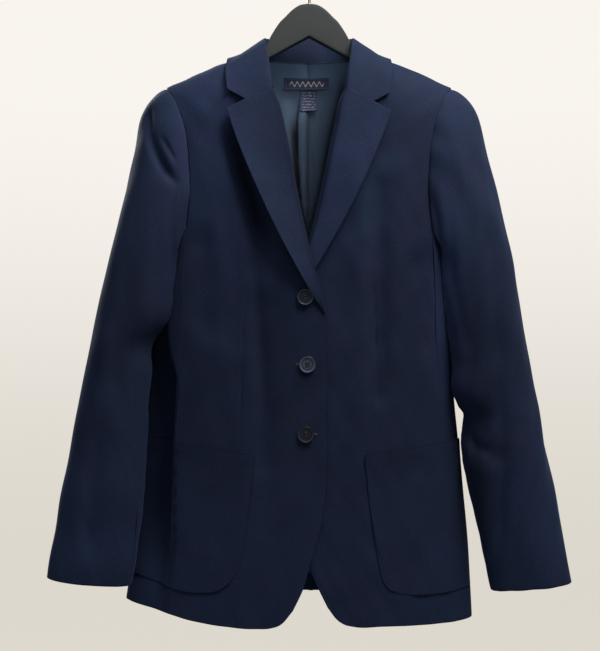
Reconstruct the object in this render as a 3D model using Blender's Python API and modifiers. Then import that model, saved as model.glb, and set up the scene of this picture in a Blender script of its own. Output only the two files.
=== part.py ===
"""A woman's single breasted blazer of navy wool, hanging on a flat hanger.

Metres, +Z up, front towards -Y. The origin is the inside of the hook's bend,
where a rail would hold it. "right" and "left" are the wearer's, so right is -X.
Cloth is a wall on one body surface: rings of rounded sections from hem to
shoulder, cut into panels by named seams.
"""
import bmesh
import bpy
import numpy as np
from math import pi
from mathutils import Vector

# Walls and gaps
CLOTH = 0.0015            # wool with its interlining
LAPEL_CLOTH = 0.0022      # facing and front turned together
LINING = 0.0010
LABEL = 0.0010
SEAM_GAP = 0.0007         # across a seam, on the outer face
SHOULDER_SEAM = 0.0008    # each side of the shoulder seam, from the ridge
PLY_GAP = 0.0006          # between cloth lying on cloth

# Body surface
ROUNDNESS = 2.6           # 2 is an ellipse, more is squarer
SHOULDER_TOP = -0.1045    # height of the shoulder line, carried on to the neck's centre
SHOULDER_SLOPE = 0.4324   # fall of the shoulder line, metre for metre
COLLAR_SEAT = (0.0030, 0.1280, 0.0320)   # the line dips this much under the collar
SHOULDER_ROUND = 0.075    # height over which the cloth rolls over the shoulder
NECK_POINT = 0.068        # shoulder seam starts here, from the centre
NECK_SCOOP = 0.0110       # the back neck dips by this at the centre
UNDERARM = -0.405         # lowest point of the armhole
SLEEVE_GAP = 0.0014       # sleeve from body at the armhole
SLEEVE_CLEAR = 0.0014     # and this much more below it
POCKET_ROOM = 0.0040      # and this much more where it passes the pocket
POCKET_NEAR = (-0.57, 0.04)   # height where that starts, and its ramp
SLEEVE_HEAD = 0.0090      # the sleeve head stands this proud over the shoulder
HEAD_AT = 0.24            # where it is fullest, in shares of the cap
HEAD_SPREAD = 0.21
CAP_PULL = (0.60, -0.22)  # how far the cap runs on as it leaves: under the arm, more over it
CAP_OUT = (0.30, 0.70)    # its way as it leaves, in the same order
CAP_FORE = 0.45
CAP_DOWN = (-1.00, 0.72)
SLEEVE_REACH = 0.05       # a sleeve's radius, which turns a gap into an angle
LINING_EASE = 0.0008      # lining from the back, besides the usual gap
HEM_FACING = 0.022        # the cloth turned up at the hem, where the lining stops
ROW_CROWD = 1.6           # crowds the rows towards the hem
ROLL_ROWS = (0.28, 0.52, 0.73, 0.89, 1.0)   # rows over the shoulder, in shares of its turn
LINING_SPLIT = 0.0009     # each half of the lining from the centre line
LABEL_EASE = 0.0008
SLEEVE_SEAM_GAP = 0.0022  # wider than other seams, as the walls lean together there
BUTTON_SEAT = 0.0004      # a button's back from the cloth
HEM_ABOUT = -0.88         # heights that the search for an edge starts from
SHOULDER_ABOUT = -0.16
POCKET_ABOUT = (-0.83, -0.66)
SEARCH_ROUNDS = 8
SIGN = {"right": -1, "left": 1}
CENTRE_COLUMN = {"right": 0, "left": -1}   # of a back's grid
WOOL = (0.012, 0.017, 0.035)


def table(columns, *rows):
    """One array for each named column."""
    return dict(zip(columns.split(), np.array(rows).T))


def smooth(rows, column, at, by="z"):
    """A column read between its rows, on a smooth curve through them."""
    order = np.argsort(rows[by])
    xs = rows[by][order]
    ys = rows[column][order]
    slopes = np.gradient(ys, xs)
    i = np.clip(np.searchsorted(xs, at) - 1, 0, len(xs) - 2)
    h = xs[i + 1] - xs[i]
    t = np.clip((at - xs[i]) / h, 0, 1)
    start = ys[i] * (1 + 2 * t) * (1 - t) ** 2 + slopes[i] * h * t * (1 - t) ** 2
    end = ys[i + 1] * t * t * (3 - 2 * t) + slopes[i + 1] * h * t * t * (t - 1)
    return start + end


# Half widths and depths of the body's sections, from its middle line
BODY = table(
    "z       right   left    front   back",
    (-0.13, 0.2120, 0.2080, 0.0540, 0.0520),
    (-0.20, 0.2080, 0.2040, 0.0570, 0.0540),
    (-0.30, 0.1990, 0.1920, 0.0610, 0.0570),
    (-0.40, 0.1960, 0.1870, 0.0625, 0.0590),
    (-0.50, 0.2050, 0.1910, 0.0600, 0.0590),
    (-0.60, 0.2165, 0.1930, 0.0585, 0.0590),
    (-0.70, 0.2250, 0.2030, 0.0590, 0.0600),
    (-0.80, 0.2360, 0.2110, 0.0600, 0.0610),
    (-0.90, 0.2480, 0.2175, 0.0600, 0.0610),
)

# Inner edge of each front: front edge, roll line, neck. Distances to the own side.
FRONT_EDGE = {
    "right": table(
        "z        across",
        (-0.1320, 0.0680), (-0.1500, 0.0615), (-0.1700, 0.0555), (-0.1962, 0.0488),
        (-0.2114, 0.0420), (-0.2535, 0.0314), (-0.3198, 0.0188), (-0.3848, 0.0051),
        (-0.4307, -0.0055), (-0.4715, -0.0165), (-0.5100, -0.0212), (-0.6245, -0.0224),
        (-0.6844, -0.0219), (-0.7252, -0.0199), (-0.7660, -0.0135), (-0.8106, -0.0008),
        (-0.8425, 0.0088), (-0.8680, 0.0210),
    ),
    "left": table(
        "z        across",
        (-0.1320, 0.0680), (-0.1500, 0.0615), (-0.1700, 0.0555), (-0.1962, 0.0488),
        (-0.2114, 0.0422), (-0.2433, 0.0359), (-0.3172, 0.0210), (-0.3874, 0.0042),
        (-0.4300, -0.0100), (-0.4600, -0.0220), (-0.5000, -0.0290), (-0.6600, -0.0290),
        (-0.7000, -0.0255), (-0.7400, -0.0180), (-0.7800, -0.0080), (-0.8193, 0.0020),
        (-0.8450, 0.0135), (-0.8650, 0.0235),
    ),
}

# Height of the hem, from the front corner round to the side
HEM = {
    "right": table(
        "across  z",
        (0.0210, -0.8680), (0.0350, -0.8846), (0.0500, -0.8905), (0.0700, -0.8915),
        (0.1100, -0.8890), (0.1500, -0.8830), (0.1900, -0.8740), (0.2380, -0.8660),
    ),
    "left": table(
        "across  z",
        (0.0235, -0.8650), (0.0340, -0.8790), (0.0440, -0.8859), (0.0560, -0.8889),
        (0.0900, -0.8890), (0.1300, -0.8890), (0.1700, -0.8885), (0.2160, -0.8880),
    ),
}
CENTRE_BACK_HEM = -0.875

# Seams: front to side panel below the underarm, armhole above it, and the same behind
FRONT_SEAM = table(
    "z        across",
    (-0.1700, 0.1960), (-0.1860, 0.1900), (-0.2000, 0.1800), (-0.2200, 0.1700),
    (-0.2500, 0.1600), (-0.2900, 0.1550), (-0.3300, 0.1535), (-0.3600, 0.1560),
    (-0.3800, 0.1585), (-0.4200, 0.1618), (-0.5600, 0.1660), (-0.7000, 0.1740),
    (-0.9000, 0.1920),
)
BACK_SEAM = table(
    "z        across",
    (-0.1700, 0.1960), (-0.1860, 0.1900), (-0.2000, 0.1830), (-0.2200, 0.1760),
    (-0.2500, 0.1690), (-0.2900, 0.1640), (-0.3300, 0.1600), (-0.3700, 0.1572),
    (-0.4200, 0.1550), (-0.5600, 0.1535), (-0.7000, 0.1610), (-0.9000, 0.1780),
)
SIDE_TOP_FRONT = -0.380
SIDE_TOP_BACK = -0.370
ARMHOLE_TOP = -0.1867
ARMHOLE_MOUTH = 0.4       # the sleeve is freed from the body's side at this rate above it

# The left front tucks under the right one where they overlap
TUCK = table(
    "z       depth",
    (-0.24, 0.0000), (-0.29, 0.0000), (-0.36, 0.0060), (-0.40, 0.0065), (-0.43, 0.0065),
    (-0.47, 0.0063), (-0.52, 0.0024), (-0.58, 0.0024), (-0.90, 0.0024),
)
FOLD_FADE = 0.045         # folds fade out nearer than this to the middle plane
TUCK_FULL = 0.030         # across, full depth up to here
TUCK_END = 0.075          # across, no depth from here on

# Sleeve sections: outer and inner sides from the middle line, front and back
ARM = {
    "right": table(
        "z       outer   inner   front    back",
        (-0.430, 0.2685, 0.1630, -0.0620, 0.0580),
        (-0.460, 0.2757, 0.1670, -0.0630, 0.0560),
        (-0.498, 0.2825, 0.1770, -0.0640, 0.0520),
        (-0.525, 0.2872, 0.2020, -0.0640, 0.0480),
        (-0.565, 0.2945, 0.2040, -0.0640, 0.0400),
        (-0.623, 0.3050, 0.2090, -0.0660, 0.0300),
        (-0.681, 0.3153, 0.2110, -0.0670, 0.0200),
        (-0.741, 0.3263, 0.2165, -0.0670, 0.0080),
        (-0.791, 0.3345, 0.2225, -0.0640, -0.0020),
        (-0.850, 0.3450, 0.2340, -0.0610, -0.0120),
    ),
    "left": table(
        "z       outer   inner   front    back",
        (-0.430, 0.2712, 0.1660, -0.0620, 0.0580),
        (-0.460, 0.2757, 0.1695, -0.0630, 0.0560),
        (-0.497, 0.2812, 0.1745, -0.0640, 0.0520),
        (-0.548, 0.2891, 0.1830, -0.0640, 0.0430),
        (-0.602, 0.2984, 0.2005, -0.0650, 0.0330),
        (-0.654, 0.3075, 0.2010, -0.0670, 0.0240),
        (-0.713, 0.3183, 0.2080, -0.0670, 0.0120),
        (-0.755, 0.3258, 0.2165, -0.0660, 0.0040),
        (-0.819, 0.3371, 0.2295, -0.0630, -0.0080),
        (-0.860, 0.3440, 0.2385, -0.0610, -0.0130),
    ),
}
ARM_ROUNDNESS = 2.3
CAP_END = -0.430          # below here the sleeve is a plain tube
CUFF = {"right": (-0.8348, 0.0055), "left": (-0.8405, 0.0055)}   # mean height, tilt
SLEEVE_SEAMS = (2.72, 4.80)   # angles of the front and elbow seams, 0 outside, pi/2 front

# Soft folds, each a trough between two places seen from the front
FOLDS = table(
    "x0       z0       x1       z1      width   depth",
    (-0.0530, -0.4800, -0.0560, -0.6800, 0.0170, 0.0030),
    (0.0960, -0.3300, 0.0880, -0.5900, 0.0160, 0.0030),
    (-0.1000, -0.3600, -0.0840, -0.5200, 0.0200, 0.0020),
    (-0.2060, -0.2250, -0.1880, -0.3060, 0.0130, 0.0060),
    (0.2000, -0.6150, 0.2340, -0.6700, 0.0130, 0.0050),
    (-0.2120, -0.5050, -0.2500, -0.5750, 0.0180, 0.0040),
)
BACK_FOLDS = table(
    "x0       z0       x1       z1      width   depth",
    (-0.0800, -0.3200, -0.0700, -0.6000, 0.0200, 0.0025),
    (0.0900, -0.3000, 0.0720, -0.5600, 0.0200, 0.0025),
    (0.2200, -0.5200, 0.2600, -0.5900, 0.0180, 0.0040),
    (-0.2150, -0.5400, -0.2600, -0.6000, 0.0180, 0.0040),
)

# Lapels: the roll line's stretch, the outer edge from the point down to the break, its bow
LAPEL = {
    "right": dict(
        roll=(-0.1975, -0.4880), point=(0.1058, -0.2275), foot=(-0.0172, -0.4868), belly=0),
    "left": dict(
        roll=(-0.1975, -0.4520), point=(0.1051, -0.2307), foot=(-0.0060, -0.4530), belly=0.0080),
}
LAPEL_RISE = 0.0065       # the outer edge stands off the chest by this
LAPEL_PAST_ROLL = 0.0012

# Collar, a row for each place from the centre back round to the gorge
COLLAR = table(
    "share fold_x fold_y  fold_z  foot_x  foot_y   foot_z   edge_x  edge_y   edge_z  dip     rise",
    (0.00, 0.0000, 0.0480, -0.0980, 0.0000, 0.0430, -0.1425, 0.0000, 0.0600, -0.1650, 0, 0.0015),
    (0.16, 0.0250, 0.0455, -0.0995, 0.0290, 0.0410, -0.1420, 0.0450, 0.0560, -0.1650, 0, 0.0015),
    (0.32, 0.0460, 0.0310, -0.1070, 0.0530, 0.0260, -0.1400, 0.0840, 0.0420, -0.1640, 0, 0.0016),
    (0.46, 0.0555, 0.0060, -0.1155, 0.0640, 0.0040, -0.1350, 0.1050, 0.0080, -0.1535, 0, 0.0008),
    (0.60, 0.0555, -0.0180, -0.1235, 0.0620, -0.0200, -0.1370, 0.1080, -0.0250, -0.1600, 0, 0.0008),
    (0.74, 0.0535, -0.0400, -0.1420, 0.0555, -0.0370, -0.1530, 0.1085, -0.0450, -0.1760, 0.002, 0.0015),
    (0.88, 0.0495, -0.0530, -0.1680, 0.0500, -0.0475, -0.1730, 0.1070, -0.0520, -0.1900, 0.007, 0.0035),
    (1.00, 0.0453, -0.0590, -0.1930, 0.0450, -0.0530, -0.1945, 0.1050, -0.0560, -0.1995, 0.015, 0.0045),
)

# Patch pocket, from its inner edge to the side
POCKET_INNER = table("z  across", (-0.660, 0.0690), (-0.730, 0.0765), (-0.808, 0.0885))
POCKET_TOP = table(
    "across z",
    (0.069, -0.6702), (0.126, -0.6615), (0.178, -0.6545), (0.215, -0.6515),
)
POCKET_LOW = {
    "right": table(
        "across  z",
        (0.0885, -0.8060), (0.0925, -0.8180), (0.1005, -0.8310), (0.1130, -0.8410),
        (0.1460, -0.8470), (0.1840, -0.8413), (0.2280, -0.8305),
    ),
    "left": table(
        "across  z",
        (0.0885, -0.8080), (0.0930, -0.8270), (0.1010, -0.8400), (0.1130, -0.8460),
        (0.1550, -0.8499), (0.1856, -0.8484), (0.2130, -0.8460),
    ),
}
POCKET_CROWD = 1.3        # crowds the columns towards the rounded corner
POCKET_REACH = 1.44       # angle round the body where its outer edge lies

# Labels inside the neck: left, right, low and high
LABELS = {
    "neck_label": (-0.0340, 0.0280, -0.1776, -0.1620),
    "size_label": (-0.0120, 0.0117, -0.2070, -0.1784),
}

# Buttons: centres down the front
BUTTONS = ((-0.0052, -0.4677), (-0.0026, -0.5538), (-0.0047, -0.6429))
BUTTON_PROFILE = table(
    "radius  height",
    (0.0000, 0.0022), (0.0066, 0.0022), (0.0078, 0.0030), (0.0092, 0.0036),
    (0.0102, 0.0031), (0.0105, 0.0020), (0.0098, 0.0007), (0.0080, 0.0000),
    (0.0000, 0.0000),
)
BUTTON_HOLE = 0.0011
BUTTON_HOLE_SPREAD = 0.0019

# Hanger and hook
HANGER_THICK = 0.0120
HANGER_EDGE = 0.0030
HANGER_DOME = table(
    "x       top",
    (0.0000, -0.0750), (0.0120, -0.0768), (0.0235, -0.0843), (0.0315, -0.0924),
    (0.0395, -0.1004), (0.0450, -0.1084), (0.0500, -0.1165), (0.0560, -0.1280),
    (0.0640, -0.1384), (0.0760, -0.1443), (0.1000, -0.1552), (0.1400, -0.1705),
    (0.1720, -0.1862), (0.1780, -0.1915),
)
HANGER_UNDER = table(
    "x       under",
    (0.0000, -0.1180), (0.0270, -0.1325), (0.0545, -0.1475), (0.1000, -0.1680),
    (0.1400, -0.1870), (0.1680, -0.2005), (0.1780, -0.1990),
)
HOOK_WIRE = 0.0022        # radius
HOOK_INSIDE = 0.0200      # radius of the bend
HOOK_STEM = table(        # from inside the hanger's top up to the bend
    "x       z",
    (0.0000, -0.0745), (0.0000, -0.0640), (0.0020, -0.0560), (0.0080, -0.0480),
)
HOOK_SWEEP = (-42, 195)   # degrees of the bend


def shoulder_line(across):
    dip, start, length = COLLAR_SEAT
    share = np.clip((start - np.abs(across)) / length, 0, 1)
    seat = dip * share * share * (3 - 2 * share)
    return SHOULDER_TOP - SHOULDER_SLOPE * np.abs(across) - seat


def neck_line(across):
    """Top of the back: the shoulder line, and inside the neck point a shallow scoop."""
    scoop = 1 - np.clip(np.abs(across) / NECK_POINT, 0, 1) ** 2
    neck = shoulder_line(NECK_POINT) - NECK_SCOOP * scoop
    return np.minimum(shoulder_line(across), neck)


def section_depth(side, across, z, front):
    """How far the front or back lies from the middle plane, before the shoulder's roll."""
    width = smooth(BODY, side, z)
    depth = np.where(front, smooth(BODY, "front", z), smooth(BODY, "back", z))
    share = np.clip(np.abs(across) / width, 0, 1)
    return depth * (1 - share ** ROUNDNESS) ** (1 / ROUNDNESS)


def angle_at(side, across, z):
    """Angle round the section, 0 at the centre front, of a point on the front."""
    share = np.clip(across / smooth(BODY, side, z), -1, 1)
    return np.sign(share) * np.arcsin(np.abs(share) ** (ROUNDNESS / 2))


def body_across(side, angle, z):
    turn = np.sin(angle)
    return smooth(BODY, side, z) * np.sign(turn) * np.abs(turn) ** (2 / ROUNDNESS)


def shoulder_roll(across, z):
    drop = np.clip((shoulder_line(across) - z) / SHOULDER_ROUND, 0, 1)
    return np.sqrt(1 - (1 - drop) ** 2)


def fold_depth(rows, x, z):
    """How far the troughs press the cloth in, at a place seen from the front."""
    depth = 0 * x
    for x0, z0, x1, z1, width, deep in zip(*rows.values()):
        length = (x1 - x0) ** 2 + (z1 - z0) ** 2
        share = np.clip(((x - x0) * (x1 - x0) + (z - z0) * (z1 - z0)) / length, 0, 1)
        apart = (x - x0 - (x1 - x0) * share) ** 2 + (z - z0 - (z1 - z0) * share) ** 2
        depth = depth + deep * np.exp(-apart / width ** 2)
    return depth


def folded(points):
    """Presses the folds into points of the front and of the back."""
    x, y, z = (points[..., i] for i in range(3))
    share = np.clip(np.abs(y) / FOLD_FADE, 0, 1)
    press = np.where(y < 0, fold_depth(FOLDS, x, z), -fold_depth(BACK_FOLDS, x, z))
    return np.stack([x, y + press * share * share, z], axis=-1)


def body_point(side, angle, z):
    """A point of the body surface: angle 0 is the centre front, pi the centre back."""
    across = body_across(side, angle, z)
    facing = np.cos(angle)
    depth = np.where(facing > 0, smooth(BODY, "front", z), smooth(BODY, "back", z))
    y = -np.sign(facing) * depth * np.abs(facing) ** (2 / ROUNDNESS)
    roll = shoulder_roll(across, z)
    y = y * roll - np.sign(facing) * SHOULDER_SEAM * (1 - roll) + tuck(side, angle, across, z)
    return folded(np.stack([SIGN[side] * across, y, z + 0 * y], axis=-1))


def tuck(side, angle, across, z):
    """How far the left front lies in, under the right one."""
    if side == "right":
        return 0 * across
    share = np.clip((TUCK_END - across) / (TUCK_END - TUCK_FULL), 0, 1)
    depth = share * share * (3 - 2 * share) * smooth(TUCK, "depth", z)
    return np.where(np.cos(angle) > 0, depth, 0)


def front_point(side, across, z):
    """The point of one front at a place seen from the front."""
    return body_point(side, angle_at(side, across, z), z)


def hem(side, angle):
    """Height of the hem, all the way round."""
    z = np.full(np.shape(angle), HEM_ABOUT)
    for _ in range(SEARCH_ROUNDS):
        across = body_across(side, np.minimum(angle, pi / 2), z)
        z = smooth(HEM[side], "z", across, by="across")
    behind = np.clip(angle / (pi / 2) - 1, 0, 1)
    return z + (CENTRE_BACK_HEM - z) * behind * behind * (3 - 2 * behind)


def grid_normals(points):
    along = np.gradient(points, axis=0)
    across = np.gradient(points, axis=1)
    normals = np.cross(across, along)
    return normals / np.linalg.norm(normals, axis=-1, keepdims=True)


def offset(points, distance):
    return points + grid_normals(points) * distance


def facing_out(side, points):
    """Columns in the order that turns the grid's faces outwards."""
    return points[:, ::-1] if side == "right" else points


def collection(name):
    made = bpy.data.collections.new(name)
    bpy.context.scene.collection.children.link(made)
    return made


def material(name, colour, roughness, metallic=0.0):
    made = bpy.data.materials.new(name)
    made.use_nodes = True
    shader = made.node_tree.nodes["Principled BSDF"]
    shader.inputs["Base Color"].default_value = (*colour, 1)
    shader.inputs["Roughness"].default_value = roughness
    shader.inputs["Metallic"].default_value = metallic
    return made


def add_object(name, data, finish, group="blazer"):
    thing = bpy.data.objects.new(name, data)
    data.materials.append(finish)
    bpy.data.collections[group].objects.link(thing)
    return thing


def sheet(name, points, thickness, finish):
    """A grid laid through the points, rows by columns, given a wall behind its face."""
    rows, columns = points.shape[:2]
    bm = bmesh.new()
    bmesh.ops.create_grid(bm, x_segments=columns - 1, y_segments=rows - 1, size=1)
    for vert, place in zip(bm.verts, points.reshape(-1, 3)):
        vert.co = Vector(place)
    mesh = bpy.data.meshes.new(name)
    bm.to_mesh(mesh)
    bm.free()
    mesh.shade_smooth()
    thing = add_object(name, mesh, finish)
    wall = thing.modifiers.new("wall", "SOLIDIFY")
    wall.thickness = thickness
    wall.offset = -1
    return thing


def panel(side, angle, top_line, columns, body_rows, crowd=1):
    """Points of a panel from the hem to the shoulder. angle(share, z) goes across it."""
    shares = np.linspace(0, 1, columns) ** crowd
    top = np.full(columns, SHOULDER_ABOUT)
    low = np.full(columns, HEM_ABOUT)
    for _ in range(SEARCH_ROUNDS):
        across = np.abs(body_across(side, angle(shares, top), top))
        top = top_line(across)
        low = hem(side, angle(shares, low))
    across = np.abs(body_across(side, angle(shares, top), top))
    rolled = shoulder_line(across) - SHOULDER_ROUND
    end = np.arcsin(np.clip((top - rolled) / SHOULDER_ROUND, 0, 1))
    facing = HEM_FACING / (rolled - low)
    body = [low] + [low + (rolled - low) * (facing + (1 - facing) * v ** ROW_CROWD)
                    for v in np.linspace(0, 1, body_rows)]
    roll = [rolled + SHOULDER_ROUND * np.sin(end * v) for v in ROLL_ROWS]
    z = np.array(body + roll)
    return body_point(side, angle(shares, z), z)


def front(side, finish):
    def angle(share, z):
        inner = angle_at(side, smooth(FRONT_EDGE[side], "across", z), z)
        seam = smooth(FRONT_SEAM, "across", z) - SEAM_GAP / 2
        return inner + (angle_at(side, seam, z) - inner) * share
    points = panel(side, angle, shoulder_line, columns=12, body_rows=13, crowd=1.3)
    return sheet("front_" + side, facing_out(side, points), CLOTH, finish)


def back_points(side):
    def angle(share, z):
        seam = pi - angle_at(side, smooth(BACK_SEAM, "across", z) - SEAM_GAP / 2, z)
        centre = pi - angle_at(side, SEAM_GAP / 2, z)
        return seam + (centre - seam) * share
    return facing_out(side, panel(side, angle, neck_line, columns=10, body_rows=10))


def back(side, finish):
    return sheet("back_" + side, back_points(side), CLOTH, finish)


def side_top(side, share):
    """The underarm: height and angle at a share of the way from front to back seam."""
    ends = SIDE_TOP_FRONT + (SIDE_TOP_BACK - SIDE_TOP_FRONT) * share
    z = UNDERARM + (ends - UNDERARM) * (2 * share - 1) ** 2
    front_seam = angle_at(side, smooth(FRONT_SEAM, "across", z), z)
    back_seam = pi - angle_at(side, smooth(BACK_SEAM, "across", z), z)
    return z, front_seam + (back_seam - front_seam) * share


def side_panel(side, finish, columns=9, rows=9):
    shares = np.linspace(0, 1, columns)
    high = side_top(side, shares)[0] - SEAM_GAP / 2

    def angle(z):
        front_seam = angle_at(side, smooth(FRONT_SEAM, "across", z) + SEAM_GAP / 2, z)
        back_seam = pi - angle_at(side, smooth(BACK_SEAM, "across", z) + SEAM_GAP / 2, z)
        return front_seam + (back_seam - front_seam) * shares
    low = np.full(columns, HEM_ABOUT)
    for _ in range(SEARCH_ROUNDS):
        low = hem(side, angle(low))
    z = np.array([low + (high - low) * v for v in np.linspace(0, 1, rows)])
    points = body_point(side, angle(z), z)
    return sheet("side_panel_" + side, facing_out(side, points), CLOTH, finish)


def armhole(side, turn):
    """Points round the armhole: turn 0 at the shoulder, pi/2 in front, pi under the arm."""
    z = np.linspace(ARMHOLE_TOP, SIDE_TOP_FRONT, 30)
    before = body_point(side, angle_at(side, smooth(FRONT_SEAM, "across", z), z), z)
    under_z, under_angle = side_top(side, np.linspace(0, 1, 31))
    under = body_point(side, under_angle, under_z)
    z = np.linspace(ARMHOLE_TOP, SIDE_TOP_BACK, 30)
    after = body_point(side, pi - angle_at(side, smooth(BACK_SEAM, "across", z), z), z)
    halves = []
    for half in (np.vstack([before, under[1:16]]), np.vstack([after, under[-2:14:-1]])):
        steps = np.linalg.norm(np.diff(half, axis=0), axis=1)
        length = np.concatenate([[0], np.cumsum(steps)]) / steps.sum()
        halves.append((length, half))
    turn = np.mod(turn, 2 * pi)
    place = np.where(turn <= pi, turn, 2 * pi - turn) / pi
    found = []
    for share, behind in zip(place, turn > pi):
        length, half = halves[int(behind)]
        found.append([np.interp(share, length, half[:, i]) for i in range(3)])
    return np.array(found)


def arm_point(side, turn, z):
    """A point of the sleeve's tube below the cap."""
    outer, inner, front_side, back_side = (
        smooth(ARM[side], name, z) for name in ("outer", "inner", "front", "back"))
    out = np.sign(np.cos(turn)) * np.abs(np.cos(turn)) ** (2 / ARM_ROUNDNESS)
    fore = np.sign(np.sin(turn)) * np.abs(np.sin(turn)) ** (2 / ARM_ROUNDNESS)
    across = (outer + inner) / 2 + (outer - inner) / 2 * out
    y = (front_side + back_side) / 2 - (back_side - front_side) / 2 * fore
    return np.stack([SIGN[side] * across, y, z + 0 * y], axis=-1)


def clear_of_side(side, points, gap):
    """Moves sleeve points out sideways to lie clear of the body."""
    y, z = points[..., 1], points[..., 2]
    depth = np.where(y < 0, smooth(BODY, "front", z), smooth(BODY, "back", z))
    share = np.clip(np.abs(y) / depth, 0, 1)
    reach = smooth(BODY, side, z) * (1 - share ** ROUNDNESS) ** (1 / ROUNDNESS)
    open_armhole = np.clip((z - SIDE_TOP_FRONT) / ARMHOLE_MOUTH, 0, 1)
    reach = reach + gap - open_armhole
    out = np.maximum(np.abs(points[..., 0]), np.where(share < 1, reach, 0))
    moved = points.copy()
    moved[..., 0] = SIGN[side] * out
    return moved


def sleeve_points(side, turns, cap_rows=8, tube_rows=10):
    """Rows from the armhole over the cap and down to the cuff."""
    start = armhole(side, turns)
    start[:, 0] += SIGN[side] * SLEEVE_GAP
    z_end = np.full(len(turns), CAP_END)
    end = arm_point(side, turns, z_end)
    below = arm_point(side, turns, z_end - 0.03) - end
    reach = np.linalg.norm(end - start, axis=1, keepdims=True)
    down = below / np.linalg.norm(below, axis=1, keepdims=True) * reach
    over = (1 + np.cos(turns)) / 2
    away = np.stack([
        SIGN[side] * (CAP_OUT[0] + CAP_OUT[1] * over),
        -CAP_FORE * np.sin(turns),
        CAP_DOWN[0] + CAP_DOWN[1] * over,
    ], axis=-1)
    away = away / np.linalg.norm(away, axis=1, keepdims=True)
    puff = away * (SLEEVE_HEAD * over ** 2)[:, None]
    away = away * reach * (CAP_PULL[0] + CAP_PULL[1] * over[:, None])
    rows = []
    for t in np.linspace(0, 1, cap_rows) ** 1.4:
        row = start * (1 + 2 * t) * (1 - t) ** 2 + away * t * (1 - t) ** 2
        row = row + end * t * t * (3 - 2 * t) - down * t * t * (1 - t)
        row = row + puff * min(1, 20 * t) * np.exp(-((t - HEAD_AT) / HEAD_SPREAD) ** 2)
        row = clear_of_side(side, row, SLEEVE_GAP + SLEEVE_CLEAR * min(1, 5 * t))
        rows.append(row + (folded(row) - row) * min(1, 3 * t))
    middle, tilt = CUFF[side]
    cuff = middle + tilt * np.cos(turns)
    near, ramp = POCKET_NEAR
    for t in np.linspace(0, 1, tube_rows)[1:]:
        z = CAP_END + (cuff - CAP_END) * t
        room = SLEEVE_GAP + SLEEVE_CLEAR + POCKET_ROOM * np.clip((near - z) / ramp, 0, 1)
        rows.append(folded(clear_of_side(side, arm_point(side, turns, z), room)))
    return np.array(rows)


def sleeves(side, finish):
    front_seam, elbow_seam = SLEEVE_SEAMS
    gap = SLEEVE_SEAM_GAP / 2 / SLEEVE_REACH
    pieces = {
        "top_sleeve": np.linspace(elbow_seam - 2 * pi + gap, front_seam - gap, 13),
        "under_sleeve": np.linspace(front_seam + gap, elbow_seam - gap, 10),
    }
    for name, turns in pieces.items():
        points = facing_out(side, sleeve_points(side, turns))
        sheet(name + "_" + side, points, CLOTH, finish)


def lapel(side, finish, columns=6, rows=11):
    shape = LAPEL[side]
    shares = np.linspace(0, 1, columns)
    grid = []
    for v in np.linspace(1, 0, rows):
        roll_z = shape["roll"][0] + (shape["roll"][1] - shape["roll"][0]) * v
        roll = smooth(FRONT_EDGE[side], "across", roll_z) - LAPEL_PAST_ROLL
        edge = shape["point"][0] + (shape["foot"][0] - shape["point"][0]) * v
        edge = edge + shape["belly"] * 4 * v * (1 - v)
        edge_z = shape["point"][1] + (shape["foot"][1] - shape["point"][1]) * v
        across = roll + (edge - roll) * shares
        z = roll_z + (edge_z - roll_z) * shares
        points = front_point(side, across, z)
        points[:, 1] -= PLY_GAP + LAPEL_CLOTH + LAPEL_RISE * min(1, 2.2 * (1 - v)) * shares ** 1.5
        grid.append(points)
    return sheet("lapel_" + side, facing_out(side, np.array(grid)), LAPEL_CLOTH, finish)


def clear_of_body(points, gap):
    """Moves points out to lie the gap clear of the body, over the shoulder too."""
    x, y, z = (points[..., i] for i in range(3))
    depth = np.where(
        x < 0, section_depth("right", x, z, y < 0), section_depth("left", x, z, y < 0))
    middle = shoulder_line(x) - SHOULDER_ROUND
    rise = np.maximum(z - middle, 0)
    ratio = np.sqrt((y / depth) ** 2 + (rise / SHOULDER_ROUND) ** 2)
    scale = np.maximum(1, (1 + gap / depth) / ratio)
    return np.stack([x, y * scale, np.where(z > middle, middle + rise * scale, z)], axis=-1)


def collar(finish, half_rows=12, fall_columns=6):
    places = np.linspace(0, 1, half_rows)
    grid = []
    for place, sign in [(p, -1) for p in places[:0:-1]] + [(p, 1) for p in places]:
        at = {name: smooth(COLLAR, name, place, by="share") for name in COLLAR}
        fold, foot, edge = (
            np.array([sign * at[n + "_x"], at[n + "_y"], at[n + "_z"]])
            for n in ("fold", "foot", "edge"))
        stand = [foot + (fold - foot) * w for w in (0, 0.5, 0.85)]
        fall = []
        for w in np.linspace(0, 1, fall_columns):
            point = fold + (edge - fold) * w
            point[2] -= at["dip"] * (1 - abs(w - 0.6) / (0.6 if w < 0.6 else 0.4))
            gap = LAPEL_CLOTH + PLY_GAP + at["rise"] * w
            fall.append(clear_of_body(point, gap))
        grid.append(stand + fall)
    return sheet("collar", np.array(grid)[:, ::-1], LAPEL_CLOTH, finish)


def lining(side, finish):
    """Lies inside the back, from the hem's facing to just below the neck seam."""
    inside = offset(back_points(side), -(CLOTH + PLY_GAP + LINING_EASE))[1:-1]
    inside[:, CENTRE_COLUMN[side], 0] = SIGN[side] * LINING_SPLIT
    off_seam = inside[:, 1:] if side == "left" else inside[:, :-1]
    return sheet("lining_" + side, off_seam, LINING, finish)


def label(name, finish, columns=5, rows=3):
    left, right, low, high = LABELS[name]
    x, z = np.meshgrid(np.linspace(left, right, columns), np.linspace(low, high, rows))
    y = section_depth("left", x, z, False) * shoulder_roll(x, z)
    y = y - (CLOTH + LINING + 2 * PLY_GAP + LINING_EASE + LABEL_EASE)
    return sheet(name, np.stack([x, y, z], axis=-1), -LABEL, finish)


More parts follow.
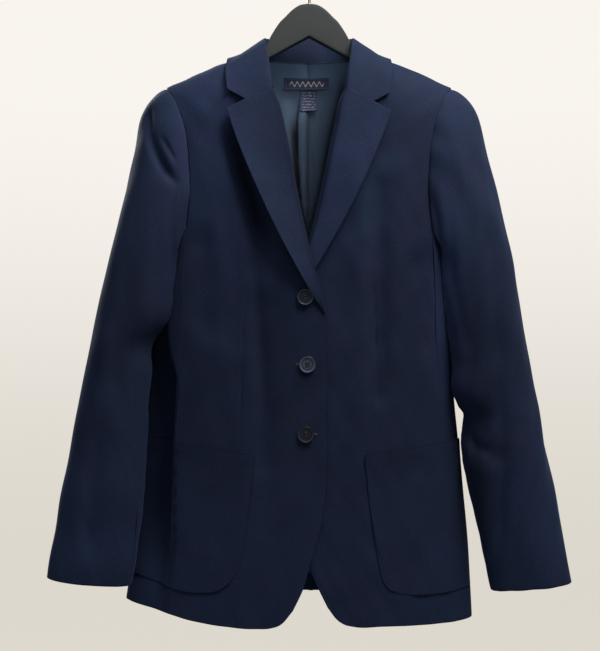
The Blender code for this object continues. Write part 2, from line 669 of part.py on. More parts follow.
def pocket(side, finish, columns=16, rows=7):
    shares = np.linspace(0, 1, columns) ** POCKET_CROWD
    low_z, high_z = (np.full(columns, z) for z in POCKET_ABOUT)

    def angle(z):
        inner = angle_at(side, smooth(POCKET_INNER, "across", z), z)
        return inner + (POCKET_REACH - inner) * shares
    for _ in range(SEARCH_ROUNDS):
        low_z = smooth(POCKET_LOW[side], "z", body_across(side, angle(low_z), low_z), "across")
        high_z = smooth(POCKET_TOP, "z", body_across(side, angle(high_z), high_z), "across")
    z = np.array([low_z + (high_z - low_z) * v for v in np.linspace(0, 1, rows)])
    points = facing_out(side, body_point(side, angle(z), z))
    return sheet("pocket_" + side, offset(points, PLY_GAP + CLOTH), CLOTH, finish)


def button(number, finish):
    """A turned disc with a raised rim and four holes, facing the front."""
    x, z = BUTTONS[number - 1]
    profile = [(r, 0, h) for r, h in zip(*BUTTON_PROFILE.values())]
    mesh = bpy.data.meshes.new("button_profile")
    mesh.from_pydata(profile, [(i, i + 1) for i in range(len(profile) - 1)], [])
    disc = add_object(f"button_{number}", mesh, finish)
    turn = disc.modifiers.new("turn", "SCREW")
    turn.steps = turn.render_steps = 16
    turn.screw_offset = 0
    turn.use_merge_vertices = True
    turn.merge_threshold = 0.00001
    cut = disc.modifiers.new("holes", "BOOLEAN")
    cut.operation = "DIFFERENCE"
    cut.operand_type = "COLLECTION"
    cut.collection = bpy.data.collections["button_cutters"]
    y = front_point("right", -x, z)[1] - BUTTON_SEAT
    disc.location = (x, y, z)
    disc.rotation_euler = (pi / 2, 0, 0)
    return disc


def hanger(finish):
    """A flat arch with rounded edges, cut to lie just under the shoulders."""
    half = np.linspace(0, HANGER_DOME["x"][-1], 22)
    top = [(x, smooth(HANGER_DOME, "top", x, by="x")) for x in half]
    under = [(x, smooth(HANGER_UNDER, "under", x, by="x")) for x in half[::-2]]
    right_half = top + under
    outline = right_half + [(-x, z) for x, z in right_half[-2:0:-1]]
    curve = bpy.data.curves.new("hanger", "CURVE")
    curve.dimensions = "2D"
    curve.fill_mode = "BOTH"
    curve.extrude = HANGER_THICK / 2 - HANGER_EDGE
    curve.bevel_depth = HANGER_EDGE
    curve.offset = -HANGER_EDGE
    curve.bevel_resolution = 1
    spline = curve.splines.new("POLY")
    spline.points.add(len(outline) - 1)
    for point, (x, z) in zip(spline.points, outline):
        point.co = (x, z, 0, 1)
    spline.use_cyclic_u = True
    thing = add_object("hanger", curve, finish)
    thing.rotation_euler = (pi / 2, 0, 0)
    return thing


def hook(finish):
    """Round wire: up from the hanger, out, and over the rail."""
    radius = HOOK_INSIDE + HOOK_WIRE
    stem = list(zip(*HOOK_STEM.values()))
    bend = [
        (radius * np.cos(a), -HOOK_INSIDE + radius * np.sin(a))
        for a in np.radians(np.linspace(*HOOK_SWEEP, 22))
    ]
    curve = bpy.data.curves.new("hook", "CURVE")
    curve.dimensions = "3D"
    curve.bevel_depth = HOOK_WIRE
    curve.bevel_resolution = 2
    curve.use_fill_caps = True
    spline = curve.splines.new("POLY")
    spline.points.add(len(stem + bend) - 1)
    for point, (x, z) in zip(spline.points, stem + bend):
        point.co = (x, 0, z, 1)
    return add_object("hook", curve, finish)


def button_cutters(finish):
    """Four pins that make a button's holes, kept with each button."""
    for number, (x, z) in enumerate(BUTTONS, 1):
        y = front_point("right", -x, z)[1] - BUTTON_SEAT
        for dx in (-BUTTON_HOLE_SPREAD, BUTTON_HOLE_SPREAD):
            for dz in (-BUTTON_HOLE_SPREAD, BUTTON_HOLE_SPREAD):
                bm = bmesh.new()
                bmesh.ops.create_cone(
                    bm, cap_ends=True, segments=6, radius1=BUTTON_HOLE, radius2=BUTTON_HOLE,
                    depth=0.01)
                mesh = bpy.data.meshes.new("pin")
                bm.to_mesh(mesh)
                bm.free()
                pin = add_object(f"pin_{number}", mesh, finish, "button_cutters")
                pin.location = (x + dx, y, z + dz)
                pin.rotation_euler = (pi / 2, 0, 0)
                pin.hide_render = True
                pin.display_type = "WIRE"


def start():
    for thing in list(bpy.data.objects):
        bpy.data.objects.remove(thing)
    collection("blazer")
    collection("button_cutters")


def main():
    start()
    wool = material("navy_wool", WOOL, 0.85)
    satin = material("slate_lining", (0.06, 0.09, 0.14), 0.45)
    woven = material("label_tape", (0.02, 0.025, 0.045), 0.6)
    horn = material("button_plastic", (0.02, 0.022, 0.03), 0.3)
    black = material("hanger_plastic", (0.05, 0.052, 0.054), 0.55)
    brass = material("hook_brass", (0.62, 0.55, 0.38), 0.35, metallic=1.0)
    for side in SIGN:
        front(side, wool)
        side_panel(side, wool)
        back(side, wool)
        lapel(side, wool)
        sleeves(side, wool)
        pocket(side, wool)
        lining(side, satin)
    collar(wool)
    for name in LABELS:
        label(name, woven)
    button_cutters(horn)
    for number in range(1, len(BUTTONS) + 1):
        button(number, horn)
    hanger(black)
    hook(brass)


main()
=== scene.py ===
"""A woman's single breasted blazer of navy wool, hanging on a flat black hanger.

Metres, +Z up, front towards -Y. The origin is the inside of the hook's bend.
"right" and "left" are the wearer's, so right is -X. Each cut piece of cloth is a
grid laid on the body's surface, pressed into its creases and given its thickness.
"""
import bpy
import numpy as np
from math import pi, radians
from mathutils import Matrix, Vector


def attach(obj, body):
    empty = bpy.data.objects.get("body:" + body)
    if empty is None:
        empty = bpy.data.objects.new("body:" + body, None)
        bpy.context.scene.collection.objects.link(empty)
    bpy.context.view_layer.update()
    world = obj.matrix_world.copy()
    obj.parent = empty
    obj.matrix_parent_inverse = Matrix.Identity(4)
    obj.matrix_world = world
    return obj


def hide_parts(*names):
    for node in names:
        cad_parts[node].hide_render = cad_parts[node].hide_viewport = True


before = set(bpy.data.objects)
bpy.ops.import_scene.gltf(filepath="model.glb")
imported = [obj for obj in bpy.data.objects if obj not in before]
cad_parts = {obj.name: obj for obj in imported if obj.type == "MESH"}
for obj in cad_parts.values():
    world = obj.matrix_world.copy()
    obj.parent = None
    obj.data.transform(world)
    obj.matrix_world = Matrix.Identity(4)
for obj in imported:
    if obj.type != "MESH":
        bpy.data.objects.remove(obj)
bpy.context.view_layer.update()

# Walls and gaps
CLOTH = 0.0015  # wool with its interlining
LAPEL_CLOTH = 0.0022  # facing and front turned together
LAPEL_WALL = 0.0019  # as modelled, the rest is air between the plies
LINING = 0.0009
LABEL = 0.0008
SEAM_GAP = 0.0003  # across a seam, on the outer face
SHOULDER_SEAM = 0.00025  # each side of the shoulder seam, from the ridge
PLY_GAP = 0.0006  # between cloth lying on cloth
SEAM_DIP = 0.0006  # cloth turns in by this at a seam
SEAM_REACH = 0.0026  # over this distance
PUCKER = 0.45  # share by which a seam's dip varies along it

# Body surface
ROUNDNESS = 2.6  # 2 is an ellipse, more is squarer
SHOULDER_TOP = -0.1045  # height of the shoulder line, carried on to the neck's centre
SHOULDER_SLOPE = 0.4324  # fall of the shoulder line, metre for metre
COLLAR_SEAT = (0.003, 0.128, 0.032)  # the line dips this much under the collar
SHOULDER_ROUND = 0.075  # height over which the cloth rolls over the shoulder
NECK_POINT = 0.068  # shoulder seam starts here, from the centre
NECK_SCOOP = 0.011  # the back neck dips by this at the centre
UNDERARM = -0.405  # lowest point of the armhole
SLEEVE_GAP = 0.0014  # sleeve from body at the armhole
ARMHOLE_GAP = 0.0006  # sleeve from front and back along the seam
SLEEVE_CLEAR = 0.0014  # and this much more below it
POCKET_ROOM = 0.004  # and this much more where it passes the pocket
POCKET_NEAR = (-0.57, 0.04)  # height where that starts, and its ramp
SLEEVE_HEAD = 0.009  # the sleeve head stands this proud over the shoulder
HEAD_AT = 0.24  # where it is fullest, in shares of the cap
HEAD_SPREAD = 0.21
CAP_PULL = (0.6, -0.22)  # how far the cap runs on as it leaves: under the arm, more over it
CAP_OUT = (0.3, 0.7)  # its way as it leaves, in the same order
CAP_FORE = 0.45
CAP_DOWN = (-1.0, 0.72)
SLEEVE_REACH = 0.05  # a sleeve's radius, which turns a gap into an angle
SLEEVE_SEAM_GAP = 0.0004
LINING_EASE = 0.0008  # lining from the back, besides the usual gap
LINING_SPLIT = 0.0001  # each half of the lining from the centre line
LAP_ROOM = 0.0018  # for the back's seam allowance under the lining
LABEL_EASE = 0.0008
BUTTON_SEAT = 0.0004  # a button's back from the cloth
HEM_ABOUT = -0.88  # heights that the search for an edge starts from
SHOULDER_ABOUT = -0.16
POCKET_ABOUT = (-0.83, -0.66)
SEARCH_ROUNDS = 8
MM = 0.001  # the tables are in mm
SIGN = {"right": -1, "left": 1}


def table(columns, *rows):
    """One array for each named column. Rows are in thousandths: mm, or parts of a share."""
    return dict(zip(columns.split(), np.array(rows).T * MM))


def eased(share):
    share = np.clip(share, 0, 1)
    return share * share * (3 - 2 * share)


def unit(ways):
    return ways / np.linalg.norm(ways, axis=-1, keepdims=True)


def powered(value, power):
    """A power that keeps the sign."""
    return np.sign(value) * np.abs(value) ** power


def curve(t, start, leaving, end, arriving):
    """From start to end, with the given ways of leaving and arriving."""
    return (start * (1 + 2 * t) * (1 - t) ** 2 + leaving * t * (1 - t) ** 2
            + end * t * t * (3 - 2 * t) + arriving * t * t * (t - 1))


def smooth(rows, column, at, by="z"):
    """A column read between its rows, on a smooth curve through them."""
    order = np.argsort(rows[by])
    xs, ys = rows[by][order], rows[column][order]
    slopes = np.gradient(ys, xs)
    i = np.clip(np.searchsorted(xs, at) - 1, 0, len(xs) - 2)
    h = xs[i + 1] - xs[i]
    t = np.clip((at - xs[i]) / h, 0, 1)
    return curve(t, ys[i], slopes[i] * h, ys[i + 1], slopes[i + 1] * h)


# Half widths and depths of the body's sections, from its middle line
BODY = table("z right left front back",
    (-130, 212, 208, 54, 52), (-200, 208, 204, 57, 54), (-300, 199, 192, 61, 57),
    (-400, 196, 187, 62.5, 59), (-500, 205, 191, 60, 59), (-600, 216.5, 193, 58.5, 59),
    (-700, 225, 203, 59, 60), (-800, 236, 211, 60, 61), (-900, 248, 217.5, 60, 61))

# Inner edge of each front: front edge, roll line, neck. Distances to the own side.
NECK_EDGE = (-132, 68), (-150, 61.5), (-170, 55.5), (-196.2, 48.8)
FRONT_EDGE = {
    "right": table("z across", *NECK_EDGE,
        (-211.4, 42), (-253.5, 31.4), (-319.8, 18.8), (-384.8, 5.1), (-430.7, -5.5),
        (-471.5, -16.5), (-510, -21.2), (-624.5, -22.4), (-684.4, -21.9), (-725.2, -19.9),
        (-766, -13.5), (-810.6, -0.8), (-842.5, 8.8), (-868, 21)),
    "left": table("z across", *NECK_EDGE,
        (-211.4, 42.2), (-243.3, 35.9), (-317.2, 21), (-387.4, 4.2), (-430, -10), (-460, -22),
        (-500, -29), (-660, -29), (-700, -25.5), (-740, -18), (-780, -8), (-819.3, 2),
        (-845, 13.5), (-865, 23.5)),
}

# Height of the hem, from the front corner round to the side
HEM = {
    "right": table("across z",
        (21, -868), (35, -884.6), (50, -890.5), (70, -891.5), (110, -889), (150, -883),
        (190, -874), (238, -866)),
    "left": table("across z",
        (23.5, -865), (34, -879), (44, -885.9), (56, -888.9), (90, -889), (130, -889),
        (170, -888.5), (216, -888)),
}
CENTRE_BACK_HEM = -0.875

# Seams: front to side panel below the underarm, armhole above it, and the same behind
FRONT_SEAM = table("z across",
    (-170, 196), (-186, 190), (-200, 180), (-220, 170), (-250, 160), (-290, 155), (-330, 153.5),
    (-360, 156), (-380, 158.5), (-420, 161.8), (-560, 166), (-700, 174), (-900, 192))
BACK_SEAM = table("z across",
    (-170, 196), (-186, 190), (-200, 183), (-220, 176), (-250, 169), (-290, 164), (-330, 160),
    (-370, 157.2), (-420, 155), (-560, 153.5), (-700, 161), (-900, 178))
SIDE_TOP_FRONT = -0.38
SIDE_TOP_BACK = -0.37
ARMHOLE_TOP = -0.1867
ARMHOLE_MOUTH = 0.4  # the sleeve is freed from the body's side at this rate above it

# The left front tucks under the right one where they overlap
TUCK = table("z depth",
    (-240, 0), (-290, 0), (-360, 6), (-400, 6.5), (-430, 6.5), (-470, 6.3), (-520, 2.4),
    (-580, 2.4), (-900, 2.4))
FOLD_FADE = 0.045  # folds fade out nearer than this to the middle plane
TUCK_FULL = 0.03  # across, full depth up to here
TUCK_END = 0.075  # across, no depth from here on

# Sleeve sections: outer and inner sides from the middle line, front and back
ARM = {
    "right": table("z outer inner front back",
        (-430, 268.5, 163, -62, 58), (-460, 275.7, 167, -63, 56), (-498, 282.5, 177, -64, 52),
        (-525, 287.2, 202, -64, 48), (-565, 294.5, 204, -64, 40), (-623, 305, 209, -66, 30),
        (-681, 315.3, 211, -67, 20), (-741, 326.3, 216.5, -67, 8), (-791, 334.5, 222.5, -64, -2),
        (-850, 345, 234, -61, -12)),
    "left": table("z outer inner front back",
        (-430, 271.2, 166, -62, 58), (-460, 275.7, 169.5, -63, 56), (-497, 281.2, 174.5, -64, 52),
        (-548, 289.1, 183, -64, 43), (-600, 298, 189, -65, 33.3), (-610, 299.8, 197, -65.1, 31.5),
        (-619, 301.3, 203.5, -65.3, 29.9), (-632, 303.6, 203, -65.6, 27.6),
        (-654, 307.5, 198.5, -67, 24), (-713, 318.3, 208, -67, 12), (-755, 325.8, 216.5, -66, 4),
        (-819, 337.1, 229.5, -63, -8), (-860, 344, 238.5, -61, -13)),
}
ARM_ROUNDNESS = 2.3
CAP_END = -0.43  # below here the sleeve is a plain tube
CUFF = {"right": (-0.8348, 0.0055), "left": (-0.8405, 0.0055)}  # mean height, tilt
SLEEVE_SEAMS = (2.72, 4.8)  # angles of the front and elbow seams, 0 outside, pi/2 front

# Soft folds, each a trough between two places seen from the front
FOLDS = table("x0 z0 x1 z1 width depth",
    (-53, -480, -56, -680, 17, 3), (96, -330, 88, -590, 16, 3), (-100, -360, -84, -520, 20, 2),
    (-206, -225, -188, -306, 13, 3), (200, -615, 234, -670, 13, 3.6),
    (-212, -505, -250, -575, 18, 1.2))
BACK_FOLDS = table("x0 z0 x1 z1 width depth",
    (-80, -320, -70, -600, 20, 2.5), (90, -300, 72, -560, 20, 2.5), (220, -520, 260, -590, 18, 4),
    (-215, -540, -260, -600, 18, 4))

# Lapels: the roll line's stretch, the outer edge from the point down to the break, its bow
LAPEL = {
    "right": dict(
        roll=(-0.1975, -0.488), point=(0.1058, -0.2275), foot=(-0.0172, -0.4868), belly=0.0095),
    "left": dict(
        roll=(-0.1975, -0.452), point=(0.1051, -0.2307), foot=(-0.006, -0.453), belly=0.008),
}
LAPEL_PAST_ROLL = 0.0012

# Collar, a row for each place from the centre back round to the gorge
COLLAR = table("share fold_x fold_y fold_z foot_x foot_y foot_z edge_x edge_y edge_z rise",
    (0, 0, 48, -98, 0, 43, -142.5, 0, 60, -165, 1.5),
    (160, 25, 45.5, -99.5, 29, 41, -142, 45, 56, -165, 1.5),
    (320, 46, 31, -107, 53, 26, -144, 84, 42, -164, 1.6),
    (460, 55.5, 6, -115.5, 64, 4, -135, 105, 8, -153.5, 0.8),
    (600, 55.5, -18, -123.5, 62, -20, -137, 108, -25, -160, 0.8),
    (740, 53.5, -40, -142, 55.5, -37, -153, 108.5, -45, -176, 1.5),
    (880, 49.5, -53, -168, 50, -47.5, -173, 107, -52, -190, 3.5),
    (1000, 45.3, -59, -193, 45, -53, -194.5, 105, -56, -199.5, 4.5))

# Patch pocket, from its inner edge to the side
POCKET_INNER = table("z across", (-660, 69), (-730, 76.5), (-808, 88.5))
POCKET_TOP = table("across z", (69, -670.2), (126, -661.5), (178, -654.5), (215, -651.5))
POCKET_LOW = {
    "right": table("across z",
        (88.5, -806), (92.5, -818), (100.5, -831), (113, -841), (146, -847), (184, -841.3),
        (228, -830.5)),
    "left": table("across z",
        (88.5, -808), (93, -827), (101, -840), (113, -846), (155, -849.9), (185.6, -848.4),
        (213, -846)),
}

# Labels inside the neck: left, right, low and high
LABELS = {
    "neck_label": (-0.034, 0.028, -0.1776, -0.162),
    "size_label": (-0.012, 0.0117, -0.207, -0.1784),
}

# Buttons: centres down the front
BUTTONS = ((-0.0052, -0.4677), (-0.0026, -0.5538), (-0.0047, -0.6429))
BUTTON_HOLE = 0.0011
BUTTON_HOLE_SPREAD = 0.0019

# Hanger and hook
HANGER_THICK = 0.012
HANGER_DOME = table("x top",
    (0, -75), (12, -76.8), (23.5, -84.3), (31.5, -92.4), (39.5, -100.4), (45, -108.4),
    (50, -116.5), (56, -128), (64, -138.4), (76, -144.3), (100, -155.2), (140, -170.5),
    (172, -186.2), (178, -191.5))
HANGER_UNDER = table("x under",
    (0, -118), (27, -132.5), (54.5, -147.5), (100, -168), (140, -187), (168, -200.5), (178, -199))
HOOK_WIRE = 0.0022  # radius
HOOK_INSIDE = 0.02  # radius of the bend
HOOK_STEM = table("x z", (0, -74.5), (0, -64), (2, -56), (8, -48))
HOOK_SWEEP = (-42, 195)  # degrees of the bend


def shoulder_line(across):
    dip, start, length = COLLAR_SEAT
    seat = dip * eased((start - np.abs(across)) / length)
    return SHOULDER_TOP - SHOULDER_SLOPE * np.abs(across) - seat


def neck_line(across):
    """Top of the back: the shoulder line, and inside the neck point a shallow scoop."""
    scoop = 1 - np.clip(np.abs(across) / NECK_POINT, 0, 1) ** 2
    neck = shoulder_line(NECK_POINT) - NECK_SCOOP * scoop
    return np.minimum(shoulder_line(across), neck)


def depth_at(z, front):
    return np.where(front, smooth(BODY, "front", z), smooth(BODY, "back", z))


def section_depth(side, across, z, front):
    """How far the front or back lies from the middle plane, before the shoulder's roll."""
    share = np.clip(np.abs(across) / smooth(BODY, side, z), 0, 1)
    return depth_at(z, front) * (1 - share ** ROUNDNESS) ** (1 / ROUNDNESS)


def angle_at(side, across, z):
    """Angle round the section, 0 at the centre front, of a point on the front."""
    share = np.clip(across / smooth(BODY, side, z), -1, 1)
    return np.sign(share) * np.arcsin(np.abs(share) ** (ROUNDNESS / 2))


def seam_angle(side, seam, z, gap=0.0):
    """The same angle of a seam's line, which is moved out by a gap."""
    return angle_at(side, smooth(seam, "across", z) + gap, z)


def body_across(side, angle, z):
    return smooth(BODY, side, z) * powered(np.sin(angle), 2 / ROUNDNESS)


def shoulder_roll(across, z):
    drop = np.clip((shoulder_line(across) - z) / SHOULDER_ROUND, 0, 1)
    return np.sqrt(1 - (1 - drop) ** 2)


def along_line(x, z, x0, z0, x1, z1):
    """How far along a line, as a share, the place nearest to x, z lies, and the way from it."""
    share = ((x - x0) * (x1 - x0) + (z - z0) * (z1 - z0)) / ((x1 - x0) ** 2 + (z1 - z0) ** 2)
    share = np.clip(share, 0, 1)
    return share, x - x0 - (x1 - x0) * share, z - z0 - (z1 - z0) * share


def fold_depth(rows, x, z):
    """How far the troughs press the cloth in, at a place seen from the front."""
    depth = 0 * x
    for *line, width, deep in zip(*rows.values()):
        _, dx, dz = along_line(x, z, *line)
        depth = depth + deep * np.exp(-(dx ** 2 + dz ** 2) / width ** 2)
    return depth


def folded(points):
    """Presses the folds into points of the front and of the back."""
    x, y, z = np.moveaxis(points, -1, 0)
    share = np.clip(np.abs(y) / FOLD_FADE, 0, 1)
    press = np.where(y < 0, fold_depth(FOLDS, x, z), -fold_depth(BACK_FOLDS, x, z))
    return np.stack([x, y + press * share * share, z], axis=-1)


def body_point(side, angle, z):
    """A point of the body surface: angle 0 is the centre front, pi the centre back."""
    across, facing = body_across(side, angle, z), np.cos(angle)
    y = -depth_at(z, facing > 0) * powered(facing, 2 / ROUNDNESS)
    roll = shoulder_roll(across, z)
    y = y * roll - np.sign(facing) * SHOULDER_SEAM * (1 - roll) + tuck(side, angle, across, z)
    return folded(np.stack([SIGN[side] * across, y, z + 0 * y], axis=-1))


def tuck(side, angle, across, z):
    """How far the left front lies in, under the right one."""
    depth = eased((TUCK_END - across) / (TUCK_END - TUCK_FULL)) * smooth(TUCK, "depth", z)
    return np.where((np.cos(angle) > 0) & (side == "left"), depth, 0)


def front_point(side, across, z):
    """The point of one front at a place seen from the front."""
    return body_point(side, angle_at(side, across, z), z)


def hem(side, angle):
    """Height of the hem, all the way round."""
    z = np.full(np.shape(angle), HEM_ABOUT)
    for _ in range(SEARCH_ROUNDS):
        across = body_across(side, np.minimum(angle, pi / 2), z)
        z = smooth(HEM[side], "z", across, by="across")
    return z + (CENTRE_BACK_HEM - z) * eased(angle / (pi / 2) - 1)


def grid_normals(points):
    return unit(np.cross(np.gradient(points, axis=1), np.gradient(points, axis=0)))


def facing_out(side, points):
    """Columns in the order that turns the grid's faces outwards."""
    return points[:, ::-1] if side == "right" else points


# Cloth laid on the body

LAPEL_ROLL = 0.0045  # radius of the roll at the gorge
LAPEL_TUCK = 0.0035  # the front's edge is drawn back by this inside the roll
LAPEL_STAND = {  # how far a lapel's edge stands off the chest, gorge to foot
    "right": table("v rise", (0, 8), (200, 12.5), (500, 16), (800, 9), (930, 1.5), (1000, -2.2)),
    "left": table("v rise", (0, 5), (200, 6), (500, 7), (800, 5), (1000, 0.5)),
}
STRIP = {  # the facing behind the roll: its way back and where the roll starts
    "right": dict(across=0.006, deep=0.005, start=-1.1, columns=5),
    "left": dict(across=-0.0035, deep=0.017, start=0.49, columns=7),
}
NOTCH = {"right": 0.0812, "left": 0.0824}  # where the collar leaves the lapel
CORNER = {"right": (0.1053, -0.2008), "left": (0.1022, -0.2066)}  # the collar's free corner
CORNER_RISE = 0.004
COLLAR_JOIN = 0.66  # from here on the collar turns into its sewn end
COLLAR_WALL = 0.0019
STAND_FOOT = (0, -0.0052, -0.001)  # the stand is turned in by this onto the lining
FOLD_SOFT = 14  # points on either side of the collar's fold that are rounded
POCKET_REACH = 1.44  # angle round the body where a pocket's outer edge lies
POCKET_MOUTH = 0.0012  # its mouth stands off by this
POCKET_WALL = 0.0009
POCKET_GAP = 0.0002  # from the front
LABEL_STAND = {"neck_label": 0.0012, "size_label": 0.005}
PLEAT = table("z left right",
    (-160, -9, -5.1), (-210.5, -15.2, -5.1), (-240.9, -16.4, -4.8), (-268.5, -15.4, -4.5),
    (-303, -13.8, -4.5), (-344.5, -9.5, -4.5), (-361, -6.5, -4.5), (-420, -5.2, -4.5),
    (-880, -5, -4.5))
LINING_TOP = -0.14
LINING_BELOW = 0.006  # from the shoulder seam
HEM_TURNED = 9  # rows of the wool turned up at the hem, below the lining
HEM_PRESSED = (-0.865, 0.03)  # seams lie flat below this height, fully dipped above
GORGE_GAP = 0.0001
PLEAT_LIFT = 0.0085
PLEAT_START = (-0.185, 0.04)  # the pleat opens below this height, over this length


# Fine shape of the cloth

def rounded(path):
    """A path with its corners cut, three times over."""
    path = np.array(path)
    for _ in range(3):
        near = path[:-1] * 0.75 + path[1:] * 0.25
        far = path[:-1] * 0.25 + path[1:] * 0.75
        inner = np.stack([near, far], axis=1).reshape(-1, path.shape[1])
        path = np.vstack([path[:1], inner, path[-1:]])
    return path


def crease(width, depth, *path, right=0, left=0, ends=(0.25, 0.25)):
    """A trough along a path seen from the front, with a ridge to its right or left, in mm.

    ends is the share of the path over which it fades in and out. Paths run downwards.
    """
    return dict(width=width * MM, depth=depth * MM, ridges=(right * MM, left * MM), ends=ends,
                path=rounded(np.array(path) * MM))


def painted_shadow(width, darker, *path, ends):
    """A soft painted shadow along a path: the cloth's colour is darker there by a share."""
    return crease(width, darker / MM, *path, ends=ends)


def crease_height(rows, x, z):
    """How far the creases lift the cloth, or sink it, at a place seen from the front."""
    height = 0 * x
    for row in rows:
        path = row["path"]
        steps = np.linalg.norm(np.diff(path, axis=0), axis=1)
        apart, aside, along = np.full(x.shape, np.inf), 0 * x, 0 * x
        for a, b, step, start in zip(path[:-1], path[1:], steps, np.cumsum(steps) - steps):
            share, dx, dz = along_line(x, z, *a, *b)
            gap = np.hypot(dx, dz)
            nearer = gap < apart
            turn = np.sign((b[0] - a[0]) * dz - (b[1] - a[1]) * dx)
            apart = np.where(nearer, gap, apart)
            aside = np.where(nearer, gap * turn / row["width"], aside)
            along = np.where(nearer, (start + share * step) / steps.sum(), along)
        fade = eased(along / row["ends"][0]) * eased((1 - along) / row["ends"][1])
        lift = -row["depth"] * np.exp(-aside ** 2)
        for ridge, place in zip(row["ridges"], (1.9, -1.9)):
            lift = lift + ridge * np.exp(-(aside - place) ** 2)
        height = height + fade * lift
    return height


def wander(points, amount, pitch, seed):
    """Small uneven waves over a grid, the same each time."""
    chance = np.random.default_rng(seed)
    u, v = flat_coordinates(points)
    height = 0 * u
    for _ in range(9):
        turn = chance.normal(0, 0.45)
        wave = 2 * pi / (pitch * chance.uniform(0.6, 2.0))
        phase = chance.uniform(0, 2 * pi)
        height = height + np.sin(wave * (u * np.cos(turn) + v * np.sin(turn)) + phase)
    return amount * height / 3


def flat_coordinates(points):
    """Where each point of a grid lies in the flat cloth: across and along, in metres."""
    u, v = (np.insert(np.cumsum(np.linalg.norm(np.diff(points, axis=way), axis=-1), axis=way),
                      0, 0, axis=way) for way in (1, 0))
    return u - u[:, u.shape[1] // 2][:, None], v


def edge_distance(points, edge):
    """How far each point lies from one edge of its grid: first, last, low or high."""
    u, v = flat_coordinates(points)
    return {"first": u - u[:, :1], "last": u[:, -1:] - u, "low": v, "high": v[-1:] - v}[edge]


def dressed(points, creases=(), seams="", facing=-1, amount=0.0006, pitch=0.045, seed=1):
    """Presses creases into a grid that faces outwards and turns its seams in."""
    normals = grid_normals(points)
    front = np.clip(facing * normals[..., 1] * 1.6, 0, 1)
    lift = crease_height(creases, points[..., 0], points[..., 2]) * front
    lift = lift + wander(points, amount, pitch, seed)
    uneven = 1 + PUCKER * wander(points, 1, 0.016, seed + 100)
    for edge in seams.split():
        apart = edge_distance(points, edge)
        press_and_edge_shade = eased((points[..., 2] - HEM_PRESSED[0]) / HEM_PRESSED[1])
        lift = lift - SEAM_DIP * press_and_edge_shade * uneven * np.exp(-(apart / SEAM_REACH) ** 2)
    return points + normals * lift[..., None]


def drawn_in(side, points):
    """The front half of the right side, sunk back to make the hollow below the arm."""
    if side == "left":
        return points
    x, y, z = np.moveaxis(points, -1, 0)
    edge, width, share = (smooth(SIDE_HOLLOW, name, z) for name in ("edge", "width", "share"))
    share = np.clip(share, 0, 1) * eased((edge - x) / width)
    return np.stack([x, np.where(y < 0, y * (1 - share), y), z], axis=-1)


def lapped(points, edges):
    """Carries cloth on past its seams: a step in, and then under its neighbour."""
    for edge in edges.split():
        turned = edge in ("low", "high")
        normals = grid_normals(points)
        if turned:
            points, normals = points.swapaxes(0, 1), normals.swapaxes(0, 1)
        order = slice(None) if edge in ("high", "last") else slice(None, None, -1)
        points, normals = points[:, order], normals[:, order]
        border, away = points[:, -1], unit(points[:, -1] - points[:, -4])
        steps = [border + away * on - normals[:, -2] * deep for on, deep in zip(*LAP.values())]
        points = np.concatenate([points, np.stack(steps, axis=1)], axis=1)[:, order]
        if turned:
            points = points.swapaxes(0, 1)
    return points


def lay_grid(name, points):
    """A flat grid primitive, its points moved to their places, mapped as cut."""
    rows, columns = points.shape[:2]
    bpy.ops.mesh.primitive_grid_add(x_subdivisions=columns - 1, y_subdivisions=rows - 1, size=1)
    piece = bpy.context.active_object
    mesh = piece.data
    piece.name = mesh.name = name
    mesh.vertices.foreach_set("co", points.reshape(-1))
    corners = np.zeros(len(mesh.loops), dtype=np.int32)
    mesh.loops.foreach_get("vertex_index", corners)
    flat = np.stack(flat_coordinates(points), axis=-1).reshape(-1, 2)
    mesh.uv_layers[0].name = "cut"
    mesh.uv_layers[0].uv.foreach_set("vector", flat[corners].reshape(-1))
    mesh.update()
    return piece


def apply_modifier(piece, kind, **settings):
    modifier = piece.modifiers.new(kind.lower(), kind)
    for name, value in settings.items():
        setattr(modifier, name, value)
    bpy.context.view_layer.objects.active = piece
    bpy.ops.object.modifier_apply(modifier=modifier.name)


def choose(piece):
    bpy.ops.object.select_all(action="DESELECT")
    piece.select_set(True)
    bpy.context.view_layer.objects.active = piece


def bevel(piece, width, segments, angle):
    apply_modifier(piece, "BEVEL", width=width, segments=segments, limit_method="ANGLE",
                   angle_limit=radians(angle))


def point_values(piece, name, values):
    layer = piece.data.attributes.new(name, "FLOAT", "POINT")
    layer.data.foreach_set("value", np.array(values, dtype=np.float32).reshape(-1))


def finish_piece(piece, finish, nodes):
    """Gives a piece its material and its place in the record's part."""
    piece.data.materials.clear()
    piece.data.materials.append(finish)
    choose(piece)
    bpy.ops.object.shade_smooth_by_angle(angle=radians(40))
    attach(piece, "root")
    if nodes:
        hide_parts(*nodes)


